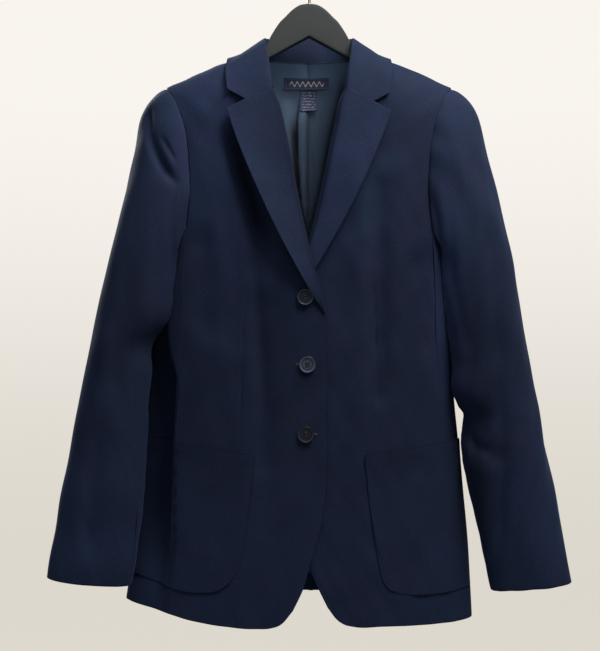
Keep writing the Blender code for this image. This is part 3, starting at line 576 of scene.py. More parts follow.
def cloth(node, points, finish, slot="navy_wool", wall=CLOTH, soften=0.00025, flat="",
          press_and_edge_shade=1.0, shade=1.0):
    """A cut piece: its grid, given a wall behind its face and softened edges.

    flat names the edges that get no painted shade along them; along the others a band of painted
    shade shows, widened by the given factor. Each point also gets a painted light and shade share,
    which makes its colour lighter or darker where light or shade should fall.
    """
    piece = lay_grid(node + "_cloth", points)
    bordered = [e for e in ("first", "last", "low", "high") if e not in flat.split()]
    border = np.min([edge_distance(points, e) for e in bordered], axis=0)
    x, y, z = np.moveaxis(points, -1, 0)
    # Painted light and shade: the colour is made lighter or darker by height, by piece, along
    # painted shadows and in soft spots.
    painted_by_height = LINING_PAINTED_SHADING if slot == "slate_lining" else PAINTED_SHADING_BY_HEIGHT
    tone = smooth(painted_by_height, "tone", z) * PAINTED_SHADING_OF.get(node, 1.0) * shade
    tone = tone * (1 + crease_height(PAINTED_SHADOW_STREAKS.get(node, ()), x, z))
    for at_x, at_z, wide, tall, more in zip(*PAINTED_SHADING_SPOTS.values()):
        away = ((x - at_x) / wide) ** 2 + ((z - at_z) / tall) ** 2
        tone = tone * (1 + more * np.exp(-away) * (y < 0.02))
    point_values(piece, "border", border / press_and_edge_shade)
    point_values(piece, "tone", tone)
    apply_modifier(piece, "SOLIDIFY", thickness=wall, offset=-1)
    bevel(piece, soften, 2, 60)
    finish_piece(piece, finish, [node])


# Painted light and shade, as shares of the cloth's colour: by height, by piece, and in soft spots
PAINTED_SHADING_BY_HEIGHT = table("z tone",
    (-130, 1050), (-300, 1100), (-420, 980), (-550, 880), (-680, 980), (-800, 1150), (-900, 1200))
LINING_PAINTED_SHADING = table("z tone",
    (-130, 1550), (-160, 1450), (-190, 1020), (-230, 680), (-300, 600), (-900, 600))
PAINTED_SHADING_OF = {"lapel_left": 1.26}
PAINTED_SHADING_SPOTS = table("x z wide tall more",
    (-135, -270, 50, 80, 400), (-120, -195, 50, 40, 160), (-110, -400, 45, 90, 280),
    (45, -330, 50, 90, 220), (-300, -760, 60, 140, 300), (300, -740, 50, 120, 300),
    (178, -470, 18, 120, 1100), (200, -620, 14, 45, 400), (214, -735, 20, 100, -320),
    (213, -668, 18, 18, -120), (238, -500, 26, 80, -120), (-235, -470, 20, 70, -140),
    (-215, -200, 30, 45, -140), (140, -330, 22, 80, -120), (-10, -415, 30, 50, 160),
    (-110, -520, 40, 70, 120), (60, -560, 40, 100, 140))

# Creases and hollows. The right side is drawn in under the sleeve: where this begins, over
# what width, and how deep.
SIDE_HOLLOW = table("z edge width share",
    (-480, -185, 6, 0), (-500, -184, 6, 400), (-525, -181.5, 7, 720), (-550, -176, 8, 760),
    (-568, -171.5, 6, 780), (-652, -173.5, 4.5, 780), (-700, -172.5, 9, 800),
    (-750, -172, 12, 800), (-790, -171.5, 15, 600), (-825, -174, 20, 340), (-860, -178, 26, 180),
    (-900, -180, 30, 120))
LINING_PAINTED_SHADOWS = [  # painted shadows on the lining, beside its pleat and under the lapel
    painted_shadow(5, 0.92, (-19, -205), (-20.3, -240.9), (-19.3, -268.5), (-17.5, -303), (-14, -335),
        ends=(0.3, 0.1)),
    painted_shadow(2.4, 0.5, (-2.2, -205), (-1.6, -260), (-2.2, -340), ends=(0.15, 0.2)),
    painted_shadow(5, 0.85, (52, -150), (43, -190), (35, -225), (26.6, -261.6), (17, -317), (1.8, -389),
        ends=(0.2, 0.05)),
]
# Painted shadows by piece: on the lining, and under the lapel on the right front.
PAINTED_SHADOW_STREAKS = {
    "lining_right": LINING_PAINTED_SHADOWS, "lining_left": LINING_PAINTED_SHADOWS,
    "front_right": [
        painted_shadow(9.5, 0.62, (-96, -260), (-93, -283), (-83, -319), (-70, -355), (-57.2, -391),
            (-49, -425), ends=(0.25, 0.35)),
    ],
}
CREASES = {
    "front_right": [
        crease(19, 17, (-96, -235), (-85, -290), (-70, -340), (-60, -390), (-55, -425),
            (-56, -460), left=0.6, ends=(0.2, 0.45)),
        crease(9.5, 4.4, (-71.5, -395), (-70, -430), (-68.1, -461.2), (-65.6, -509.7),
            (-61.5, -586.4), (-60.5, -688.5), right=0.4, ends=(0.12, 0.5)),
        crease(1.2, 0.9, (-79.7, -451), (-82.3, -484.2), (-86.1, -560.8), (-88.7, -622.1),
            (-90.6, -654), right=0.3, ends=(0.05, 0.05)),
        crease(18, 4, (-135.9, -362.9), (-139.7, -420.4), (-135.9, -477.8), (-129.5, -535.3)),
    ],
    "front_left": [
        crease(14, 4, (79.9, -299.1), (85, -343.8), (87.5, -394.8), (87.5, -458.7),
            (88.8, -528.9), (87.5, -592.7)),
        crease(10, 2.5, (100.3, -254.4), (79.9, -299.1), (54.3, -362.9), (39, -407.6)),
        crease(1.4, 1.9, (83.7, -448), (85.5, -498), (88, -570.2), (90.1, -654), right=0.4,
            ends=(0.05, 0.6)),
        crease(17, 3, (144, -390), (150, -470), (148, -560)),
    ],
    "back_right": [
        crease(18, 4, (-105, -260), (-98, -360), (-90, -480), (-93, -620), right=1),
        crease(14, 3, (-145, -430), (-130, -540), (-134, -700)),
        crease(20, 3, (-35, -520), (-42, -650), (-38, -860)),
    ],
    "back_left": [
        crease(18, 4, (110, -270), (101, -380), (94, -500), (98, -650), left=1),
        crease(15, 3, (142, -410), (129, -530), (136, -690)),
        crease(22, 2.5, (40, -560), (34, -700), (43, -860)),
    ],
    "sleeve_right": [
        crease(5.8, 5.4, (-215, -208), (-211, -238), (-205, -265), (-195, -288), (-183, -308),
            (-164, -330), ends=(0.14, 0.24)),
        crease(3.2, 2.4, (-193, -256), (-186, -268), (-179, -280), (-169, -298), ends=(0.3, 0.35)),
        crease(14, 2.2, (-210, -340), (-230, -420), (-242, -520), (-256, -640), right=0.6),
        crease(12, 3, (-265, -600), (-276, -700), (-283, -820)),
    ],
    "sleeve_left": [
        crease(5, 3, (167.4, -443.6), (173.7, -471.6), (180.1, -503.4), (185.2, -535.2),
            right=0.8),
        crease(10, 6, (190, -606), (198, -630), (204, -652), (210, -670), (220, -690), left=1,
            ends=(0.1, 0.4)),
        crease(7, 2.8, (201, -642), (213, -658), (232.3, -670), left=0.4),
        crease(10, 4.5, (241.2, -550), (245, -637), (244, -700.6), (242, -764.2), (239, -808.8)),
        crease(9, 2.5, (173.7, -388.8), (185.2, -471.6), (204.3, -547.9)),
        crease(12, 4.5, (230, -350), (238, -430), (243, -579.7)),
    ],
    "sleeve_back_right": [
        crease(12, 4.5, (-200, -530), (-235, -560), (-270, -565), left=1.2),
        crease(10, 3.5, (-215, -600), (-245, -620), (-280, -615)),
        crease(14, 4, (-225, -250), (-230, -360), (-235, -480)),
        crease(13, 3, (-270, -650), (-280, -730), (-288, -820)),
    ],
    "sleeve_back_left": [
        crease(12, 4.5, (200, -550), (230, -575), (270, -580), left=1.2),
        crease(11, 3, (225, -625), (250, -635), (285, -630)),
        crease(15, 4, (220, -260), (230, -380), (236, -490)),
        crease(13, 3, (275, -660), (282, -740), (290, -830)),
    ],
}
LAP = table("on deep", (0.2, 0.4), (0.6, 1.3), (2, 2.1), (6, 2.5))
BACK_LAPS = {"right": "first", "left": ""}  # the right half runs on under the left one
FAR = {"right": "first", "left": "last"}  # the edge of a piece away from the centre front
NEAR = {"right": "last", "left": "first"}
FINE_GAP = 0.00006  # between a front and its side panel
DART_SHARE = 0.56  # of a front's width, where its columns crowd for the dart
ARC_POINTS = 16  # points round the lapel's roll
ROLL_SHADE = 0.4  # painted shade: share by which the lapel's roll is darker than its face, over the light the roll catches


# Cloth pieces

def crowded(count, *peaks):
    """Shares from 0 to 1, closer together near each peak: its place, reach and strength."""
    fine = np.linspace(0, 1, 2001)
    density = 1 + sum(more * np.exp(-((fine - at) / reach) ** 2) for at, reach, more in peaks)
    filled = np.cumsum(density) - density[0]
    return np.interp(np.linspace(0, 1, count), filled / filled[-1], fine)


def fine_panel(side, angle, top_line, shares, rows):
    """Points of a panel from the hem to the shoulder, close enough for its creases."""
    top = np.full(len(shares), SHOULDER_ABOUT)
    low = np.full(len(shares), HEM_ABOUT)
    for _ in range(SEARCH_ROUNDS):
        across = np.abs(body_across(side, angle(shares, top), top))
        top = top_line(across)
        low = hem(side, angle(shares, low))
    across = np.abs(body_across(side, angle(shares, top), top))
    rolled = shoulder_line(across) - SHOULDER_ROUND
    end = np.arcsin(np.clip((top - rolled) / SHOULDER_ROUND, 0, 1))
    body = [low + (rolled - low) * v for v in crowded(rows, (0, 0.02, 2))]
    roll = [rolled + SHOULDER_ROUND * np.sin(end * v) for v in np.linspace(0, 1, 25)[1:]]
    z = np.array(body + roll)
    return body_point(side, angle(shares, z), z)


def front(side, finish):
    def angle(share, z):
        turned = LAPEL_TUCK * eased((z - LAPEL[side]["roll"][1] - 0.02) / 0.05)
        inner = seam_angle(side, FRONT_EDGE[side], z, turned)
        return inner + (seam_angle(side, FRONT_SEAM, z, -FINE_GAP / 2) - inner) * share
    shares = crowded(110, (0.0, 0.05, 2), (DART_SHARE, 0.05, 5), (1.0, 0.03, 3))
    points = facing_out(side, fine_panel(side, angle, shoulder_line, shares, 160))
    points = dressed(points, CREASES["front_" + side], "high", amount=0.0004,
                     seed=11 + (side == "left"))
    points = drawn_in(side, points)
    cloth("front_" + side, lapped(points, FAR[side]), finish, soften=0.0001, flat=FAR[side])
    return points.reshape(-1, 3)


def lying_on(surface, x, z):
    """The place on a piece's face that is seen at x, z from the front."""
    apart = np.hypot(surface[:, 0] - x, surface[:, 2] - z)
    near = np.argsort(apart)[:4]
    share = 1 / (apart[near] + 1e-5)
    return np.array([x, (surface[near, 1] * share).sum() / share.sum(), z])


def lining_line(across):
    """Top of the lining, which runs straight across behind the collar's stand."""
    return np.minimum(shoulder_line(across) - LINING_BELOW, LINING_TOP)


def back_panel_points(side, columns, rows, top_line=neck_line):
    def angle(share, z):
        seam = pi - seam_angle(side, BACK_SEAM, z, -SEAM_GAP / 2)
        centre = pi - angle_at(side, SEAM_GAP / 2, z)
        return seam + (centre - seam) * share
    shares = crowded(columns, (0, 0.03, 3), (1, 0.12, 2))
    return facing_out(side, fine_panel(side, angle, top_line, shares, rows))


def back(side, finish):
    points = back_panel_points(side, 64, 140)
    points = dressed(points, CREASES["back_" + side], "first last high", facing=1,
                     seed=21 + (side == "left"))
    cloth("back_" + side, lapped(points, BACK_LAPS[side]), finish)


def side_top(side, share):
    """The underarm: height and angle at a share of the way from front to back seam."""
    ends = SIDE_TOP_FRONT + (SIDE_TOP_BACK - SIDE_TOP_FRONT) * share
    z = UNDERARM + (ends - UNDERARM) * (2 * share - 1) ** 2
    front_seam = seam_angle(side, FRONT_SEAM, z)
    return z, front_seam + (pi - seam_angle(side, BACK_SEAM, z) - front_seam) * share


def length_shares(line):
    """How far along a line each of its points lies, as a share."""
    steps = np.linalg.norm(np.diff(line, axis=0), axis=1)
    return np.concatenate([[0], np.cumsum(steps)]) / steps.sum()


def side_panel(side, finish):
    shares = crowded(68, (0, 0.14, 3), (1, 0.05, 2))
    high = side_top(side, shares)[0] - SEAM_GAP / 2

    def angle(z):
        front_seam = seam_angle(side, FRONT_SEAM, z, FINE_GAP / 2)
        back_seam = pi - seam_angle(side, BACK_SEAM, z, SEAM_GAP / 2)
        return front_seam + (back_seam - front_seam) * shares
    low = np.full(len(shares), HEM_ABOUT)
    for _ in range(SEARCH_ROUNDS):
        low = hem(side, angle(low))
    z = np.array([low + (high - low) * v for v in np.linspace(0, 1, 128)])
    points = facing_out(side, body_point(side, angle(z), z))
    points = dressed(points, (), "high", amount=0.0004, seed=31 + (side == "left"))
    points = lapped(drawn_in(side, points), FAR[side])
    cloth("side_panel_" + side, points, finish, soften=0.0001, flat=NEAR[side])


def armhole(side, turn):
    """Points round the armhole: turn 0 at the shoulder, pi/2 in front, pi under the arm."""
    z = np.linspace(ARMHOLE_TOP, SIDE_TOP_FRONT, 30)
    before = body_point(side, seam_angle(side, FRONT_SEAM, z), z)
    under_z, under_angle = side_top(side, np.linspace(0, 1, 31))
    under = body_point(side, under_angle, under_z)
    z = np.linspace(ARMHOLE_TOP, SIDE_TOP_BACK, 30)
    after = body_point(side, pi - seam_angle(side, BACK_SEAM, z), z)
    halves = np.vstack([before, under[1:16]]), np.vstack([after, under[-2:14:-1]])
    turn = np.mod(turn, 2 * pi)
    place = np.where(turn <= pi, turn, 2 * pi - turn) / pi
    found = []
    for share, behind in zip(place, turn > pi):
        half = halves[int(behind)]
        found.append([np.interp(share, length_shares(half), half[:, i]) for i in range(3)])
    return np.array(found)


def arm_point(side, turn, z):
    """A point of the sleeve's tube below the cap."""
    outer, inner, fore, rear = (
        smooth(ARM[side], name, z) for name in ("outer", "inner", "front", "back"))
    out, forward = (powered(way, 2 / ARM_ROUNDNESS) for way in (np.cos(turn), np.sin(turn)))
    across = (outer + inner) / 2 + (outer - inner) / 2 * out
    y = (fore + rear) / 2 - (rear - fore) / 2 * forward
    return np.stack([SIGN[side] * across, y, z + 0 * y], axis=-1)


def clear_of_side(side, points, gap):
    """Moves sleeve points out sideways to lie clear of the body."""
    x, y, z = np.moveaxis(points, -1, 0)
    share = np.clip(np.abs(y) / depth_at(z, y < 0), 0, 1)
    reach = smooth(BODY, side, z) * (1 - share ** ROUNDNESS) ** (1 / ROUNDNESS)
    reach = reach + gap - np.clip((z - SIDE_TOP_FRONT) / ARMHOLE_MOUTH, 0, 1)
    out = np.maximum(np.abs(x), np.where(share < 1, reach, 0))
    return np.stack([SIGN[side] * out, y, z], axis=-1)


def sleeve_points(side, turns, cap_rows=60, tube_rows=104):
    """Rows from the armhole over the cap and down to the cuff."""
    start = armhole(side, turns)
    start[:, 0] += SIGN[side] * ARMHOLE_GAP
    z_end = np.full(len(turns), CAP_END)
    end = arm_point(side, turns, z_end)
    reach = np.linalg.norm(end - start, axis=1, keepdims=True)
    down = unit(arm_point(side, turns, z_end - 0.03) - end) * reach
    over = (1 + np.cos(turns)) / 2
    away = unit(np.stack([
        SIGN[side] * (CAP_OUT[0] + CAP_OUT[1] * over),
        -CAP_FORE * np.sin(turns),
        CAP_DOWN[0] + CAP_DOWN[1] * over,
    ], axis=-1))
    puff = away * (SLEEVE_HEAD * over ** 2)[:, None]
    away = away * reach * (CAP_PULL[0] + CAP_PULL[1] * over[:, None])
    rows = []
    for t in np.linspace(0, 1, cap_rows) ** 1.3:
        row = curve(t, start, away, end, down)
        row = row + puff * min(1, 20 * t) * np.exp(-((t - HEAD_AT) / HEAD_SPREAD) ** 2)
        row = clear_of_side(side, row, ARMHOLE_GAP + SLEEVE_CLEAR * min(1, 5 * t))
        rows.append(row + (folded(row) - row) * min(1, 3 * t))
    middle, tilt = CUFF[side]
    cuff = middle + tilt * np.cos(turns)
    near, ramp = POCKET_NEAR
    for t in np.linspace(0, 1, tube_rows)[1:]:
        z = CAP_END + (cuff - CAP_END) * t
        room = SLEEVE_GAP + SLEEVE_CLEAR + POCKET_ROOM * np.clip((near - z) / ramp, 0, 1)
        rows.append(folded(clear_of_side(side, arm_point(side, turns, z), room)))
    return np.array(rows)


def sleeves(side, finish):
    front_seam, elbow_seam = SLEEVE_SEAMS
    gap = SLEEVE_SEAM_GAP / 2 / SLEEVE_REACH
    flat = {"right": "first last low", "left": "first last"}[side]
    for name, start, end, columns, elbow, laps in (
            ("top_sleeve", elbow_seam - 2 * pi + gap, front_seam - gap, 98, NEAR, "first last low"),
            ("under_sleeve", front_seam + gap, elbow_seam - gap, 44, FAR, "low")):
        turns = start + (end - start) * crowded(columns, (0, 0.02, 3), (1, 0.02, 3))
        points = facing_out(side, sleeve_points(side, turns))
        seed = len(name) + (side == "left")
        points = dressed(points, CREASES["sleeve_" + side], elbow[side] + " low",
                         amount=0.0008, pitch=0.05, seed=seed)
        points = dressed(points, CREASES["sleeve_back_" + side], facing=1, amount=0, seed=seed)
        cloth(f"{name}_{side}", lapped(points, laps), finish, flat=flat)


def lapel_section(side, v, face_columns=44):
    """One line across the lapel: inside strip, soft roll, then its face out to the edge.

    v is 0 at the gorge and 1 at the foot.
    """
    shape, strip = LAPEL[side], STRIP[side]
    roll_z = shape["roll"][0] + (shape["roll"][1] - shape["roll"][0]) * v
    roll = smooth(FRONT_EDGE[side], "across", roll_z) - LAPEL_PAST_ROLL
    edge, edge_z = (a + (b - a) * v for a, b in zip(shape["point"], shape["foot"]))
    edge = edge + shape["belly"] * 4 * v * (1 - v)
    radius = LAPEL_ROLL * (1 - 0.55 * v * v)
    begin = min(0.5, radius / np.hypot(edge - roll, edge_z - roll_z))
    share = begin + (1 - begin) * np.linspace(0, 1, face_columns)
    outside = front_point(side, roll + (edge - roll) * share, roll_z + (edge_z - roll_z) * share)
    rise = smooth(LAPEL_STAND[side], "rise", v, by="v")
    outside[..., 1] -= PLY_GAP + LAPEL_CLOTH + rise * share ** 1.5
    middle = outside[0] + np.array([0, radius, 0])
    turns = np.linspace(strip["start"], pi / 2, ARC_POINTS)[:-1]
    arc = [middle + radius * np.array([-SIGN[side] * np.cos(t), -np.sin(t), 0]) for t in turns]
    way = np.array([SIGN[side] * strip["across"], strip["deep"], 0.0])
    inside = [arc[0] + way * t for t in np.linspace(1, 0, strip["columns"] + 1)[:-1]]
    return np.vstack([inside, arc, outside])


def lapel(side, finish, rows=128):
    points = np.array([lapel_section(side, v) for v in np.linspace(1, 0, rows)])
    points = facing_out(side, points)
    points = dressed(points, amount=0.0004, pitch=0.05, seed=41 + (side == "left"))
    columns = np.arange(points.shape[1])[::SIGN[side]]
    face = STRIP[side]["columns"] + ARC_POINTS
    # Painted shade over the strip and the roll, fading out onto the lapel's face.
    shade = 1 - ROLL_SHADE * (1 - eased((columns - face + 6) / 10)) * np.ones(points.shape[:2])
    cloth("lapel_" + side, points, finish, wall=LAPEL_WALL, flat="high", shade=shade)


def clear_of_body(points, gap):
    """Moves points out to lie the gap clear of the body, over the shoulder too."""
    x, y, z = np.moveaxis(points, -1, 0)
    depth = np.where(
        x < 0, section_depth("right", x, z, y < 0), section_depth("left", x, z, y < 0))
    middle = shoulder_line(x) - SHOULDER_ROUND
    rise = np.maximum(z - middle, 0)
    ratio = np.sqrt((y / depth) ** 2 + (rise / SHOULDER_ROUND) ** 2)
    scale = np.maximum(1, (1 + gap / depth) / ratio)
    return np.stack([x, y * scale, np.where(z > middle, middle + rise * scale, z)], axis=-1)


def spread(line, columns):
    """The same line with a given number of points, evenly apart."""
    at = np.linspace(0, 1, columns)
    return np.stack([np.interp(at, length_shares(line), line[:, i]) for i in range(3)], axis=-1)


def collar_end(side, stand_columns, fall_columns):
    """The collar's end: sewn to the lapel as far as the notch, then free to its corner."""
    top = lapel_section(side, 0.0)
    apex = STRIP[side]["columns"] + ARC_POINTS // 2
    notch_at = apex + int(np.argmin(np.abs(np.abs(top[apex:, 0]) - NOTCH[side])))
    corner = front_point(side, *CORNER[side])
    corner[1] -= PLY_GAP + LAPEL_CLOTH + CORNER_RISE
    notch = top[notch_at]
    free = notch + (corner - notch) * np.linspace(0, 1, 14)[1:, None]
    stand = spread(top[:apex + 1], stand_columns)
    fall = spread(np.vstack([top[apex:notch_at + 1], free]), fall_columns)
    return stand + (0, 0, GORGE_GAP), fall + (0, 0, GORGE_GAP)


def collar(finish, half_rows=84, stand_columns=18, fall_columns=44):
    halves = {}
    for side in SIGN:
        end_stand, end_fall = collar_end(side, stand_columns, fall_columns)
        half = []
        for place in crowded(half_rows, (1.0, 0.12, 2)):
            at = {name: smooth(COLLAR, name, place, by="share") for name in COLLAR}
            fold, foot, edge = (
                np.array([SIGN[side] * at[n + "_x"], at[n + "_y"], at[n + "_z"]])
                for n in ("fold", "foot", "edge"))
            foot = foot + np.array(STAND_FOOT) * (1 - eased((place - 0.3) / 0.25))
            stand = foot + (fold - foot) * np.linspace(0, 1, stand_columns)[:, None]
            w = np.linspace(0, 1, fall_columns)[:, None]
            fall = fold + (edge - fold) * w
            fall = clear_of_body(fall, LAPEL_CLOTH + PLY_GAP + at["rise"] * w[:, 0])
            near = eased((place - COLLAR_JOIN) / (1 - COLLAR_JOIN))
            stand = stand + (end_stand - stand) * near
            fall = fall + (end_fall - fall) * near
            line = np.vstack([stand[:-1], fall])
            low, high = stand_columns - FOLD_SOFT, stand_columns + FOLD_SOFT
            for _ in range(round(22 * (1 - near)) + 2):
                line[low:high] = (line[low - 1:high - 1] + 2 * line[low:high]
                                  + line[low + 1:high + 1]) / 4
            half.append(line)
        halves[side] = np.array(half)
    points = np.vstack([halves["right"][:0:-1], halves["left"]])[:, ::-1]
    points = dressed(points, amount=0.0003, pitch=0.06, seed=51)
    cloth("collar", points, finish, wall=COLLAR_WALL, flat="low high")


def lining(side, finish):
    """Lies inside the back, pleated down its centre."""
    points = back_panel_points(side, 68, 130, lining_line)[HEM_TURNED:]
    points = points - grid_normals(points) * (CLOTH + PLY_GAP + LINING_EASE + LAP_ROOM)
    points[:, {"right": 0, "left": -1}[side], 0] = SIGN[side] * LINING_SPLIT
    x, _, z = np.moveaxis(points, -1, 0)
    start, ramp = PLEAT_START
    left, right = smooth(PLEAT, "left", z), smooth(PLEAT, "right", z)
    strip = eased((x - left) / 0.002) * (1 - eased((x - right) / 0.003))
    beside = np.exp(-((x - left + 0.018) / 0.0085) ** 2)
    ripple = np.sin((x + 0.12 * z) * 850 + 3 * np.sin(z * 55))
    creased = eased((x - right) / 0.002) * np.exp(-((x - right) / 0.018) ** 2)
    lift = PLEAT_LIFT * strip + 0.0028 * beside + 0.0011 * creased * (1 + ripple)
    points = points - np.stack([0 * x, eased((start - z) / ramp) * lift, 0 * x], axis=-1)
    points = dressed(points, CREASES["back_" + side], facing=1, amount=0.0005, pitch=0.04,
                     seed=61 + (side == "left"))
    cloth("lining_" + side, points, finish, slot="slate_lining", wall=LINING, flat=FAR[side])


def label(name, finish):
    left, right, low, high = LABELS[name]
    x, z = np.meshgrid(np.linspace(left, right, 60), np.linspace(low, high, 30))
    y = section_depth("left", x, z, False) * shoulder_roll(x, z)
    y = y - (CLOTH + LINING + 2 * PLY_GAP + LINING_EASE + LAP_ROOM + LABEL_EASE + LABEL)
    y = y - LABEL_STAND[name] * ((high - z) / (high - low)) ** 2
    points = dressed(np.stack([x, y, z], axis=-1), amount=0.0002, pitch=0.02, seed=len(name))
    cloth(name, points, finish, slot="label_tape", wall=LABEL, soften=0.0002)


def pocket(side, finish, columns=92, rows=84):
    shares = crowded(columns, (0.0, 0.05, 2), (0.12, 0.1, 1), (0.75, 0.08, 2))
    low_z, high_z = (np.full(columns, z) for z in POCKET_ABOUT)

    def angle(z):
        inner = seam_angle(side, POCKET_INNER, z)
        return inner + (POCKET_REACH - inner) * shares
    for _ in range(SEARCH_ROUNDS):
        low_z = smooth(POCKET_LOW[side], "z", body_across(side, angle(low_z), low_z), "across")
        high_z = smooth(POCKET_TOP, "z", body_across(side, angle(high_z), high_z), "across")
    z = np.array([low_z + (high_z - low_z) * v for v in crowded(rows, (1, 0.04, 2), (0, 0.04, 2))])
    points = facing_out(side, body_point(side, angle(z), z))
    points = dressed(points, CREASES["front_" + side], amount=0.0004, pitch=0.05,
                     seed=71 + (side == "left"))
    points = drawn_in(side, points)
    mouth = edge_distance(points, "high")
    lift = POCKET_GAP + POCKET_WALL + POCKET_MOUTH * np.exp(-(mouth / 0.018) ** 2)
    points = points + grid_normals(points) * lift[..., None]
    # The pocket's edges get a wider band of painted shade.
    cloth("pocket_" + side, points, finish, wall=POCKET_WALL, press_and_edge_shade=1.5)


def edit(piece, mode="FACE", action="SELECT"):
    """Into edit mode on one piece, with everything or nothing selected."""
    choose(piece)
    bpy.ops.object.mode_set(mode="EDIT")
    bpy.ops.mesh.select_mode(type=mode)
    bpy.ops.mesh.select_all(action=action)


# Buttons, hanger and hook

def select_faces(piece, wanted):
    """Back into edit mode with the faces that wanted(face) picks."""
    bpy.ops.object.mode_set(mode="OBJECT")
    for face in piece.data.polygons:
        face.select = bool(wanted(face))
    bpy.ops.object.mode_set(mode="EDIT")


def settle(piece):
    """A piece made lying flat at the origin is turned to face the front."""
    choose(piece)
    bpy.ops.object.transform_apply()
    piece.rotation_euler = (pi / 2, 0, 0)
    bpy.ops.object.transform_apply()


def tube(name, path, radius, sides=10, closed=False):
    """Round wire along a path: a grid rolled up into rings, its seam and ends closed."""
    path = np.array(path, dtype=float)
    if closed:
        path = np.vstack([path, path[:1]])
    along = np.gradient(path, axis=0)
    if closed:
        along[0] = along[-1] = path[1] - path[-2]
    along = unit(along)
    first = np.cross(along[0], (0.31, 0.87, 0.38))
    turns = np.linspace(0, 2 * pi, sides + 1)[:, None]
    rings = []
    for centre, way in zip(path, along):
        first = unit(first - way * np.dot(first, way))
        second = np.cross(way, first)
        rings.append(centre + radius * (np.cos(turns) * first - np.sin(turns) * second))
    piece = lay_grid(name, np.array(rings))
    edit(piece, "VERT")
    bpy.ops.mesh.remove_doubles(threshold=radius * 0.05)
    bpy.ops.mesh.select_all(action="DESELECT")
    bpy.ops.mesh.select_non_manifold()
    if not closed:
        bpy.ops.mesh.fill_holes(sides=0)
    bpy.ops.mesh.select_all(action="SELECT")
    bpy.ops.mesh.normals_make_consistent(inside=False)
    bpy.ops.object.mode_set(mode="OBJECT")
    return piece


def joined(name, pieces):
    bpy.ops.object.select_all(action="DESELECT")
    for piece in pieces:
        piece.select_set(True)
    bpy.context.view_layer.objects.active = pieces[0]
    bpy.ops.object.join()
    pieces[0].name = pieces[0].data.name = name
    return pieces[0]


def cylinder(sides, radius, depth, place):
    bpy.ops.mesh.primitive_cylinder_add(vertices=sides, radius=radius, depth=depth, location=place)
    return bpy.context.active_object


def button_disc():
    """A turned disc: dished face, raised round rim and four drilled holes."""
    disc = cylinder(64, BUTTON_RADIUS, BUTTON_THICK, (0, 0, BUTTON_THICK / 2))
    edit(disc, action="DESELECT")
    select_faces(disc, lambda face: face.normal.z > 0.9)
    for inset, sink in ((BUTTON_RIM, BUTTON_DISH), (BUTTON_STEP, 0.0003)):
        bpy.ops.mesh.inset(thickness=inset)
        bpy.ops.transform.translate(value=(0, 0, -sink))
    select_faces(disc, lambda face: face.normal.z < -0.9)
    bpy.ops.mesh.inset(thickness=BUTTON_RIM)
    bpy.ops.object.mode_set(mode="OBJECT")
    bevel(disc, 0.0009, 4, 40)
    ends = (-BUTTON_HOLE_SPREAD, BUTTON_HOLE_SPREAD)
    drill = joined("drill", [
        cylinder(20, BUTTON_HOLE, 0.01, (across, up, 0)) for across in ends for up in ends])
    apply_modifier(disc, "BOOLEAN", operation="DIFFERENCE", object=drill)
    bpy.data.objects.remove(drill)
    point_values(disc, "ring", [vertex.co.xy.length for vertex in disc.data.vertices])
    settle(disc)
    return disc


def button_thread():
    """Two rows of thread across the holes, three strands in each."""
    strands = []
    turns = np.linspace(0, pi, 9)
    for row in (-BUTTON_HOLE_SPREAD, BUTTON_HOLE_SPREAD):
        for strand in (-0.45, 0.0, 0.45):
            x = -BUTTON_HOLE_SPREAD * np.cos(turns)
            z = BUTTON_THICK - BUTTON_DISH - 0.0009 + 0.0013 * np.sin(turns) ** 0.6
            y = row + strand * BUTTON_HOLE * (0.6 + 0.4 * np.sin(turns))
            strands.append(tube("strand", np.stack([x, y, z], axis=-1), 0.00028, sides=7))
    piece = joined("thread", strands)
    settle(piece)
    return piece


def buttons(surface, horn, thread):
    made = {"disc": (button_disc(), horn, "button_plastic"),
            "thread": (button_thread(), thread, "navy_wool")}
    for number, ((x, z), glint_share) in enumerate(zip(BUTTONS, BUTTON_GLINT_SHARE), 1):
        seat = Vector(lying_on(surface, x, z) - (0, BUTTON_SEAT, 0))
        for name, (first, finish, slot) in made.items():
            piece = first.copy()
            piece.data = first.data.copy()
            piece.name = piece.data.name = f"button_{number}_{name}"
            bpy.context.scene.collection.objects.link(piece)
            piece.data.transform(Matrix.Translation(seat))
            # Each button's share of painted reflection, read by its finish.
            point_values(piece, "lightened", [glint_share] * len(piece.data.vertices))
            nodes = [f"button_{number}"] if name == "disc" else []
            finish_piece(piece, finish, nodes)
    for first, _, _ in made.values():
        bpy.data.objects.remove(first)


def buttonholes(surface, finish):
    """Worked slots in the right front, under the buttons and a little past them."""
    turns = np.linspace(0, 2 * pi, 57)[:-1]
    along = BUTTONHOLE_HALF * powered(np.cos(turns), 0.45)
    up = BUTTONHOLE_TALL * powered(np.sin(turns), 0.9)
    for number, (shift, (x, z)) in enumerate(zip(BUTTONHOLE_SHIFT, BUTTONS), 1):
        path = np.array([lying_on(surface, a, b) for a, b in zip(x + shift + along, z + up)])
        path[:, 1] -= 0.0002
        rim = tube(f"buttonhole_{number}", path, 0.0006, sides=8, closed=True)
        finish_piece(rim, finish, [])


